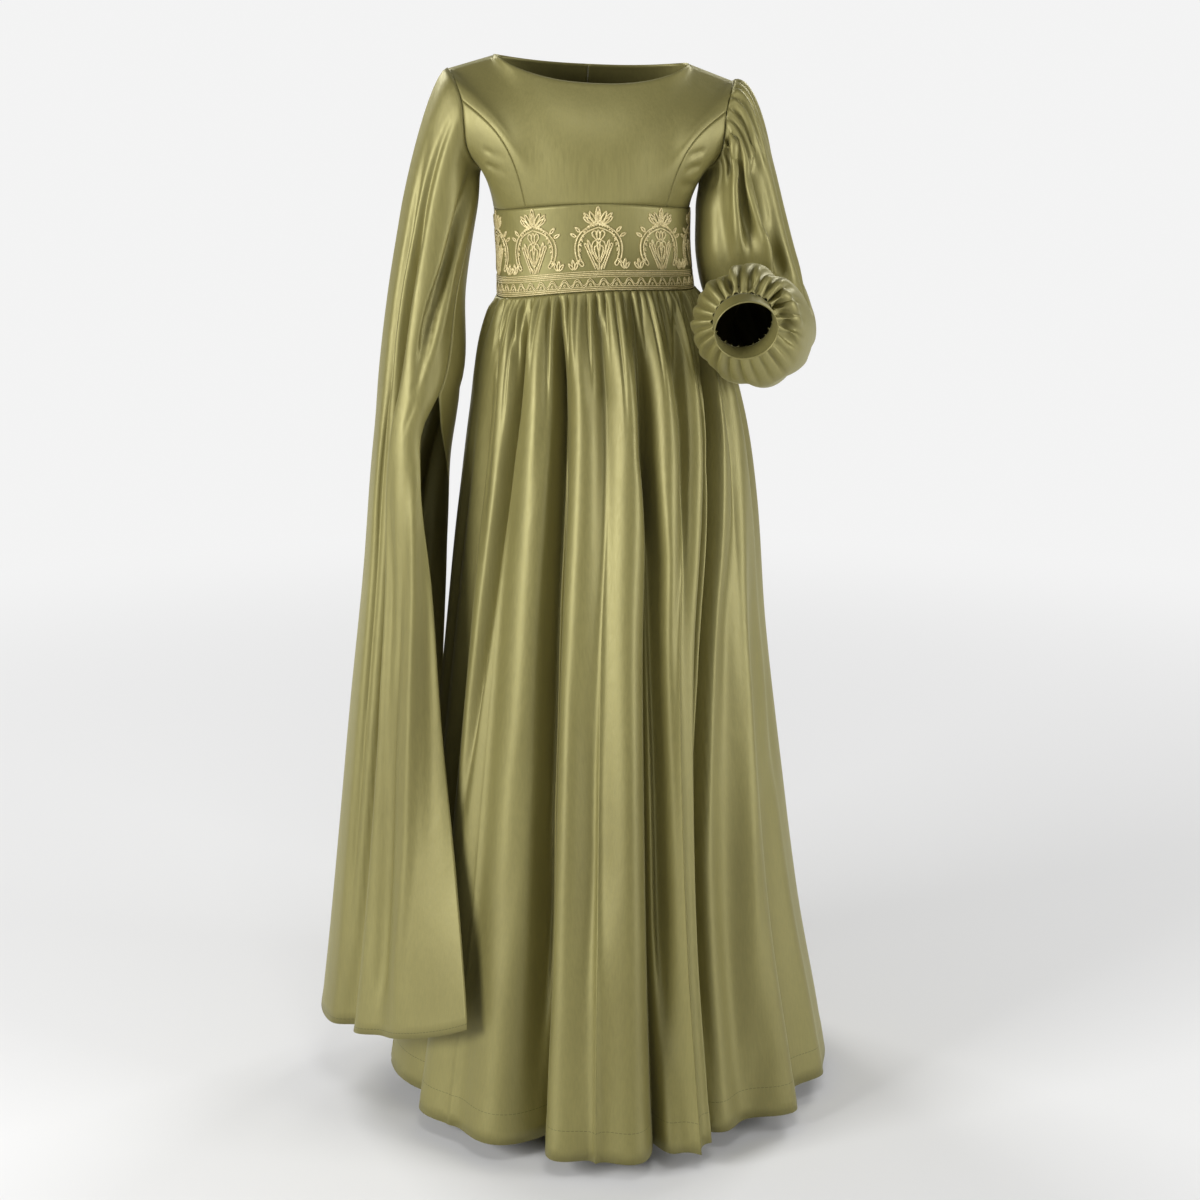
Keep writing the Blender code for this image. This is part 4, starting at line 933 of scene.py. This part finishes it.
def make_long_sleeve(grids, satin):
    """Long open sleeve on the wearer's right: front and back panels, open below the slit."""
    seam, facing, way_out = armhole_seam(grids, -1)
    front, front_normals = long_sleeve_panel("front", seam, facing, way_out)
    back, back_normals = long_sleeve_panel("back", seam, facing, way_out)
    closed = LONG_HEAD_ROWS + LONG_TUBE_ROWS + 1
    over = mitred(front_normals[1:, 0], back_normals[1:, -1])
    under = mitred(front_normals[1:closed, -1], back_normals[1:closed, 0])
    front_normals[1:, 0] = over
    back_normals[1:, -1] = over
    front_normals[1:closed, -1] = under
    back_normals[1:closed, 0] = under
    for name, rings, normals in (("long_sleeve_front", front, front_normals),
                                 ("long_sleeve_back", back, back_normals)):
        panel = creased(rings, normals, LONG_SLEEVE_CREASES, edge_guard(rings), LONG_CREASE_STRENGTH)
        panel = hemmed(inset(panel), normals, LONG_SLEEVE_HEM)
        cloth(name, panel, normals, satin)


def full_sleeve_frame(level):
    """Centre, side and front directions and half sizes of a section of the gathered sleeve."""
    row = read_table(FULL_SLEEVE_SECTIONS, "number", level)[1:]
    bend, yaw = math.radians(row[3]), math.radians(row[4])
    ahead = np.array([math.sin(yaw), -math.cos(yaw), 0.0])
    up = np.array([0.0, 0.0, 1.0])
    side = np.array([math.cos(yaw), math.sin(yaw), 0.0])
    fore = ahead * math.cos(bend) + up * math.sin(bend)
    along = ahead * math.sin(bend) - up * math.cos(bend)
    return row[:3], side, fore, along, row[5:]


def full_sleeve_point(angle, level, gather=0.0):
    """A point of the gathered sleeve. Angle 0 is its outer side, 90 its front."""
    centre, side, fore, _, sizes = full_sleeve_frame(level)
    turn = math.radians(angle)
    across = sizes[0] if math.cos(turn) > 0 else sizes[1]
    deep = sizes[2] if math.sin(turn) > 0 else sizes[3]
    reach = side * math.cos(turn) * across + fore * math.sin(turn) * deep
    last = len(FULL_SLEEVE) - 1
    shrink = 0.0
    for fold in FULL_SLEEVE_FOLDS:
        if fold.start < level < fold.end:
            along = (level - fold.start) / (fold.end - fold.start)
            centre_angle = mix(fold.top_angle, fold.low_angle, along)
            away = (angle - centre_angle + 180.0) % 360.0 - 180.0
            shrink += fold.depth * math.sin(math.pi * along) ** 0.5 * math.exp(-(away / fold.width) ** 2)
    near_cuff = smooth((level - last + 2.2) / 1.6) * mix(1.0, 0.35, smooth((level - last + 0.4) / 0.4))
    ripple = RUFFLE_HEIGHT * gather * near_cuff
    return centre + reach - unit(reach) * (shrink - ripple)


def make_full_sleeve(grids, satin, cuff_satin):
    """Gathered sleeve on the wearer's left, with its plain cuff."""
    seam, facing, way_out = armhole_seam(grids, 1)
    count = len(seam)
    columns, first = [], []
    for column in range(count):
        angle = 360.0 * column / count
        gather = gather_height(column * GATHER_POINTS_PER_STATION / FINE)
        start, normal, leave = sleeve_start(seam[column], facing[column], way_out[column], angle,
                                            FULL_SLEEVE_HEAD)
        first.append(normal)
        end = full_sleeve_point(angle, 0.0, gather)
        slope = (full_sleeve_point(angle, 0.1, gather) - end) * 12.0
        top = 0.5 + 0.5 * math.cos(math.radians(angle))
        line = []
        for level in np.arange(FULL_HEAD_ROWS) / FULL_HEAD_ROWS:
            point = curved(start, leave, end, slope, level)
            out = unit(point - mix(seam.mean(axis=0), np.array(FULL_SLEEVE[0][:3]), level))
            swell = math.sin(math.pi * min(level * 1.6 + 0.02, 1.0)) * mix(0.3, 1.0, top)
            line.append(point + out * gather * HEAD_GATHER_HEIGHT * swell)
        levels = np.linspace(0.0, len(FULL_SLEEVE) - 1.0, FULL_ROWS + 1)
        line += [full_sleeve_point(angle, level, gather) for level in levels]
        columns.append(line)
    rings = np.array(columns).transpose(1, 0, 2)
    normals = -normals_of(rings, closed=True)
    normals[0] = first
    centre, side, fore, along, sizes = full_sleeve_frame(len(FULL_SLEEVE) - 1)
    normals[-1] = unit(rings[-1] - centre)
    rings = creased(rings, normals, FULL_SLEEVE_CREASES, edge_guard(rings, sides=False))
    cloth("full_sleeve", inset(rings, sides=False), normals, satin, closed=True)
    cuff = []
    for reach in np.linspace(SEAM_GAP / 2, CUFF_WIDTH, CUFF_ROWS):
        radius = sizes[0] + CUFF_FLARE * reach / CUFF_WIDTH
        turns = [2.0 * math.pi * number / CUFF_SIDES for number in range(CUFF_SIDES)]
        cuff.append([centre + along * reach + (side * math.cos(turn) + fore * math.sin(turn)) * radius
                     for turn in turns])
    cuff = np.array(cuff)
    outward = unit(cuff - centre)
    outward -= along * (outward @ along)[..., None]
    cloth("cuff_left", cuff, unit(outward), cuff_satin, closed=True)


def give(tree, node, inputs):
    """Gives a node's inputs their values, or links them where another node's output is named."""
    for key, value in inputs.items():
        if isinstance(value, bpy.types.NodeSocket):
            tree.links.new(value, node.inputs[key])
        else:
            node.inputs[key].default_value = value


def add_node(tree, kind, inputs, **settings):
    """Adds a node with its settings and inputs."""
    node = tree.nodes.new(kind)
    for key, value in settings.items():
        setattr(node, key, value)
    give(tree, node, inputs)
    return node


def new_material(name):
    """A material, its shader and the object's own coordinates."""
    material = bpy.data.materials.new(name)
    material.use_nodes = True
    place = material.node_tree.nodes.new("ShaderNodeTexCoord").outputs["Object"]
    return material, material.node_tree.nodes["Principled BSDF"], place


def noise_on(tree, place, noise):
    """Noise on the object's own coordinates, stretched along the threads."""
    mapping = add_node(tree, "ShaderNodeMapping", {"Vector": place, "Scale": noise.stretch})
    texture = add_node(tree, "ShaderNodeTexNoise", {"Vector": mapping.outputs["Vector"], "Scale": noise.scale,
                                                    "Detail": noise.detail, "Roughness": NOISE_ROUGHNESS})
    return texture.outputs["Fac"]


def ramp_between(tree, value, ends, start=0.3, end=0.7):
    """Two colours mixed by a value."""
    ramp = add_node(tree, "ShaderNodeValToRGB", {"Fac": value})
    for element, colour, position in zip(ramp.color_ramp.elements, ends, (start, end)):
        element.color = (*colour, 1.0)
        element.position = position
    return ramp.outputs["Color"]


def mixed(tree, factor, first, second, blend_type="MIX"):
    """Two colours mixed, or the first multiplied by the second."""
    node = add_node(tree, "ShaderNodeMix", {}, data_type="RGBA", blend_type=blend_type)
    give(tree, node, {"Factor": factor, 6: first, 7: second})
    return node.outputs[2]


def worked_out(tree, operation, *values):
    """A number worked out from others by a maths node."""
    return add_node(tree, "ShaderNodeMath", dict(enumerate(values)), operation=operation).outputs["Value"]


def stitch_row(tree, height):
    """A row of stitches at a height above the lower edge, read from the cloth's own map: 1 on the thread."""
    cloth_map = add_node(tree, "ShaderNodeUVMap", {}, uv_map="cloth")
    split = add_node(tree, "ShaderNodeSeparateXYZ", {"Vector": cloth_map.outputs["UV"]})
    near = worked_out(tree, "COMPARE", split.outputs["Y"], height, STITCH_THREAD)
    wave = worked_out(tree, "PINGPONG", split.outputs["X"], STITCH_LENGTH)
    dash = worked_out(tree, "GREATER_THAN", wave, STITCH_LENGTH * STITCH_SPACING)
    return worked_out(tree, "MULTIPLY", near, dash)


def satin_cloth(name, hem=None):
    """Olive satin: slow changes of tone, slubs along the threads, a fine weave, and its hem's stitches."""
    material, shader, place = new_material(name)
    tree = material.node_tree
    slub = noise_on(tree, place, SLUB)
    base = ramp_between(tree, noise_on(tree, place, TONE), SATIN_TONES)
    colour = mixed(tree, THREAD_SHARE, base, ramp_between(tree, slub, THREAD_TONES, 0.35, 0.65), "MULTIPLY")
    if hem is not None:
        colour = mixed(tree, stitch_row(tree, hem), colour, STITCH_COLOUR)
    shine = add_node(tree, "ShaderNodeMapRange", {"Value": slub, "From Min": 0.3, "From Max": 0.7,
                                                  "To Min": SATIN_ROUGHNESS[0], "To Max": SATIN_ROUGHNESS[1]})
    give(tree, shader, {"Base Color": colour, "Roughness": shine.outputs["Result"], **SATIN_FINISH})
    under = {}
    for height, distance in ((noise_on(tree, place, CRINKLE), CRINKLE_DEPTH), (slub, SLUB_DEPTH),
                             (noise_on(tree, place, WEAVE), WEAVE_DEPTH)):
        inputs = {"Height": height, "Strength": BUMP_STRENGTH, "Distance": distance, **under}
        under = {"Normal": add_node(tree, "ShaderNodeBump", inputs).outputs["Normal"]}
    give(tree, shader, under)
    return material


def gold_cord():
    """Pale gold embroidery cord: a twisted thread, painted darker in the hollows of its twist as painted
    shade and brighter on its crests as a painted highlight.
    """
    material, shader, place = new_material("gold_cord")
    tree = material.node_tree
    twist = noise_on(tree, place, TWIST)
    dull = ramp_between(tree, noise_on(tree, place, WEAR), GOLD_WEAR)
    bump = add_node(tree, "ShaderNodeBump", {"Height": twist, "Strength": 0.6, "Distance": 0.0002})
    # Painted shade and highlight: the twist's bump height darkens the hollows and brightens the crests, then
    # wear dulls the cord at random
    colour = mixed(tree, 1.0, ramp_between(tree, twist, GOLD_SHADE_AND_HIGHLIGHT), dull, "MULTIPLY")
    give(tree, shader, {"Base Color": colour, "Metallic": 0.15, "Roughness": 0.38,
                        "Normal": bump.outputs["Normal"]})
    return material


def on_band(across, height, angle, lift):
    """A place on the waistband: millimetres round it and up from the waist, from a centre angle."""
    _, half_width, front, back = read_table(BAND_RINGS, "level", 0.6)
    turn = math.radians(angle)
    depth = front if math.cos(turn) > 0 else back
    pace = math.hypot(half_width * math.cos(turn), depth * math.sin(turn))
    reached = angle + math.degrees(across / PER_METRE / pace)
    forward = max(math.cos(math.radians(reached)), 0.0) ** 2
    tall = (BAND_TOP_Z + BAND_TOP_ARCH * forward) - (WAIST_Z + WAIST_ARCH * forward)
    level = 1.0 - height / PER_METRE / tall
    point = torso_ring(level, reached)
    outward = torso_ring(level, reached + 0.5) - torso_ring(level, reached - 0.5)
    outward = unit(np.array([outward[1], -outward[0], 0.0]))
    if outward @ np.array([point[0], point[1], 0.0]) < 0.0:
        outward = -outward
    return posed(point + outward * lift)


def curve_through(points, steps):
    """A smooth open line through points in the plane of a motif."""
    points = np.array(points, float)
    if len(points) == 2:
        return [mix(points[0], points[1], s) for s in np.linspace(0.0, 1.0, steps + 1)]
    keys = np.arange(len(points), dtype=float)
    slopes = np.gradient(points, axis=0)
    line = []
    for at in np.linspace(0.0, keys[-1], steps * (len(points) - 1) + 1):
        i = min(int(at), len(points) - 2)
        line.append(curved(points[i], slopes[i], points[i + 1], slopes[i + 1], at - i))
    return line


def lay_cord(mesh, line, radius):
    """A thin round cord along a line of points."""
    line = np.array(line)
    along = unit(np.gradient(line, axis=0))
    rings = []
    for point, way in zip(line, along):
        side = unit(np.cross(way, (point[0], point[1], 0.0)))
        lift = np.cross(side, way)
        rings.append([mesh.verts.new(point + (side * math.cos(t) + lift * math.sin(t)) * radius)
                      for t in np.arange(CORD_SIDES) * 2.0 * math.pi / CORD_SIDES])
    for first, second in zip(rings[:-1], rings[1:]):
        for side in range(CORD_SIDES):
            following = (side + 1) % CORD_SIDES
            mesh.faces.new((first[side], first[following], second[following], second[side]))
    mesh.faces.new(rings[0][::-1])
    mesh.faces.new(rings[-1])


def leaf(foot, tip, width):
    """The outline of a slim leaf from its foot to its tip and back."""
    foot, tip = np.array(foot, float), np.array(tip, float)
    way = tip - foot
    side = np.array([-way[1], way[0]]) / np.linalg.norm(way) * width / 2.0
    return [tuple(place) for place in (foot, foot + way * 0.35 + side, foot + way * 0.72 + side * 0.8, tip,
                                       foot + way * 0.72 - side * 0.8, foot + way * 0.35 - side, foot)]


def motif_strokes():
    """Strokes of the band's flower, in millimetres from its centre line, right half only unless centred."""
    half = [
        ((2.2, 0), (2.6, 5), (5, 9)),
        ((3.0, 2), (16.0, 35.0)), ((5.4, 1.4), (18.6, 33.6)),
        ((16.0, 35.0), (18.2, 36.4), (18.6, 33.6)),
        ((1.2, 10), (6.5, 20), (9.2, 30), (7.2, 38), (2.8, 39.5), (1.6, 34.5), (4.4, 31.5)),
        ((1.6, 14), (4.4, 21), (6.0, 28), (4.6, 33)),
        ((2.0, 40), (6.0, 44), (8.5, 49), (6.0, 53), (2.6, 50.5), (3.0, 47)),
        ((25.0, 7), (28.6, 13), (31.4, 23), (31.6, 33), (28.8, 43), (22.6, 51.5), (14.0, 57.6), (0.0, 62.6)),
        ((20.6, 8.5), (24.6, 15), (27, 24), (27, 33), (24.4, 41.4), (19, 48.4), (11.6, 53.4), (0, 57.6)),
        ((25.0, 7), (22.4, 5.8), (20.6, 8.5)),
        ((33.6, 1.0), (32.6, 8.0), (35.6, 14.0)),
        ((1.4, 60.0), (6.6, 66.4), (13.0, 70.6), (19.0, 71.8), (16.4, 66.6), (9.8, 62.6), (3.0, 60.4)),
    ]
    half += [leaf((33.0, 1.5), (29.0, 12.0), 3.4), leaf((34.0, 1.5), (35.4, 15.0), 3.4),
             leaf((35.2, 1.5), (41.0, 10.0), 3.2), leaf((29.5, 45.5), (37.0, 50.0), 3.0),
             leaf((24.5, 51.5), (30.5, 58.5), 3.0), leaf((3.6, 62.0), (11.0, 79.0), 5.2),
             leaf((5.5, 61.6), (18.4, 77.0), 4.6), leaf((9.2, 21.0), (14.5, 41.0), 3.2)]
    for turn in np.arange(BEAD_COUNT) / (BEAD_COUNT - 1.0):
        x, y = mix(23.2, 3.0, turn ** 1.7), mix(13.0, 60.4, math.sin(turn * math.pi / 2.0))
        half.append(((x + 2.0, y - 1.6), (x + 4.6, y + 0.4), (x + 2.2, y + 1.8)))
    centre = [leaf((0.0, 62.0), (0.0, 85.5), 6.4), leaf((0.0, 64.0), (0.0, 80.0), 2.6),
              ((0.0, 0.0), (0.0, 30.0)), leaf((0.0, 24.0), (0.0, 38.0), 3.0),
              leaf((0.0, 40.0), (0.0, 54.0), 4.4), ((-3.4, 61.5), (0.0, 63.4), (3.4, 61.5))]
    return half, centre


def embroider(gold):
    """Corded embroidery all round the band: border lines, two zigzags with rings, and a row of flowers."""
    flowers = bmesh.new()
    half, centre = motif_strokes()
    strokes = list(centre)
    for stroke in half:
        strokes.append(stroke)
        strokes.append([(-x, y) for x, y in stroke])
    for number in range(MOTIF_COUNT):
        angle = number * 360.0 / MOTIF_COUNT
        for stroke in strokes:
            line = [on_band(x, y + MOTIF_FOOT, angle, CORD_LIFT)
                    for x, y in curve_through(stroke, 3 if len(stroke) > 2 else 6)]
            lay_cord(flowers, line, CORD_RADIUS)
    new_piece("band_flowers", flowers, gold)
    border = bmesh.new()
    for height, radius in BORDER_LINES:
        angles = np.linspace(BAND_START, BAND_END, BAND_STEPS)
        lay_cord(border, [on_band(0.0, height, angle, CORD_LIFT) for angle in angles], radius)
    for height in ZIGZAG_ROWS:
        line = []
        for angle in np.linspace(BAND_START, BAND_END, ZIGZAG_WAVES * ZIGZAG_STEPS):
            wave = math.sin(math.radians(angle) * ZIGZAG_WAVES)
            rise = ZIGZAG_HEIGHT * math.copysign(abs(wave) ** 0.8, wave)
            line.append(on_band(0.0, height + rise, angle, CORD_LIFT))
        lay_cord(border, line, THIN_CORD_RADIUS)
    for number in range(ZIGZAG_WAVES):
        angle = (number + 0.25) * 360.0 / ZIGZAG_WAVES
        line = [on_band(RING_RADIUS * math.cos(t), RING_HEIGHT + RING_RADIUS * math.sin(t), angle, CORD_LIFT)
                for t in np.linspace(0.0, 6.0, 8)]
        lay_cord(border, line, THIN_CORD_RADIUS)
    new_piece("band_borders", border, gold)


def place_camera():
    """The photograph's camera."""
    data = bpy.data.cameras.new("camera")
    data.lens = CAMERA_LENS
    data.sensor_width = CAMERA_SENSOR
    camera = bpy.data.objects.new("camera", data)
    camera.location = CAMERA_PLACE
    camera.rotation_euler = [math.radians(turn) for turn in CAMERA_TURN]
    bpy.context.scene.collection.objects.link(camera)
    bpy.context.scene.camera = camera


def lay_floor():
    """A pale floor, lit near the dress and as bright as the wall far from it."""
    mesh = bmesh.new()
    bmesh.ops.create_circle(mesh, cap_ends=True, segments=96, radius=FLOOR_RADIUS)
    data = bpy.data.meshes.new("floor")
    mesh.to_mesh(data)
    mesh.free()
    data.transform(Matrix.Translation((0.0, 0.0, HEM_Z - FLOOR_DROP)))
    floor = bpy.data.objects.new("floor", data)
    bpy.context.scene.collection.objects.link(floor)
    paint, lit, place = new_material("pale_floor")
    tree = paint.node_tree
    give(tree, lit, {"Base Color": (0.78, 0.78, 0.78, 1.0), "Roughness": 0.9})
    far = add_node(tree, "ShaderNodeEmission", {"Color": (FAR_FLOOR, FAR_FLOOR, FAR_FLOOR, 1.0)})
    length = add_node(tree, "ShaderNodeVectorMath", {0: place}, operation="LENGTH")
    reach = {"Value": length.outputs["Value"], "From Min": FLOOR_FADE_START, "From Max": FLOOR_FADE_END}
    fade = add_node(tree, "ShaderNodeMapRange", reach, interpolation_type="SMOOTHSTEP")
    either = add_node(tree, "ShaderNodeMixShader", {"Fac": fade.outputs["Result"], 1: lit.outputs["BSDF"],
                                                    2: far.outputs["Emission"]})
    give(tree, tree.nodes["Material Output"], {"Surface": either.outputs["Shader"]})
    data.materials.append(paint)


def light_studio():
    """A pale wall, weak light from all round, two lamps in front, one above and two behind."""
    world = bpy.data.worlds.new("studio")
    bpy.context.scene.world = world
    bpy.context.scene.view_settings.view_transform = "Standard"
    world.use_nodes = True
    tree = world.node_tree
    soft = tree.nodes["Background"]
    give(tree, soft, {"Color": (1.0, 1.0, 1.0, 1.0), "Strength": SOFT_LIGHT})
    wall = add_node(tree, "ShaderNodeBackground", {"Color": (FAR_FLOOR, FAR_FLOOR, FAR_FLOOR, 1.0)})
    seen = tree.nodes.new("ShaderNodeLightPath").outputs["Is Camera Ray"]
    either = add_node(tree, "ShaderNodeMixShader", {"Fac": seen, 1: soft.outputs["Background"],
                                                    2: wall.outputs["Background"]})
    give(tree, tree.nodes["World Output"], {"Surface": either.outputs["Shader"]})
    for row in LAMPS:
        lamp = bpy.data.lights.new(row.name, "AREA")
        lamp.energy = row.power
        lamp.size = row.size
        light = bpy.data.objects.new(row.name, lamp)
        light.location = row.place
        light.rotation_euler = (Vector(LAMP_TARGET) - Vector(row.place)).to_track_quat("-Z", "Y").to_euler()
        bpy.context.scene.collection.objects.link(light)


place_camera()
lay_floor()
light_studio()
SATIN = satin_cloth("satin")
SKIRT_SATIN = satin_cloth("skirt_satin", SKIRT_HEM)
SLEEVE_SATIN = satin_cloth("long_sleeve_satin", LONG_SLEEVE_HEM)
CUFF_SATIN = satin_cloth("cuff_satin", CUFF_STITCH)
GOLD = gold_cord()
grids = make_bodice(SATIN)
make_waistband(SATIN)
embroider(GOLD)
make_skirt(SKIRT_SATIN)
make_long_sleeve(grids, SLEEVE_SATIN)
make_full_sleeve(grids, SATIN, CUFF_SATIN)
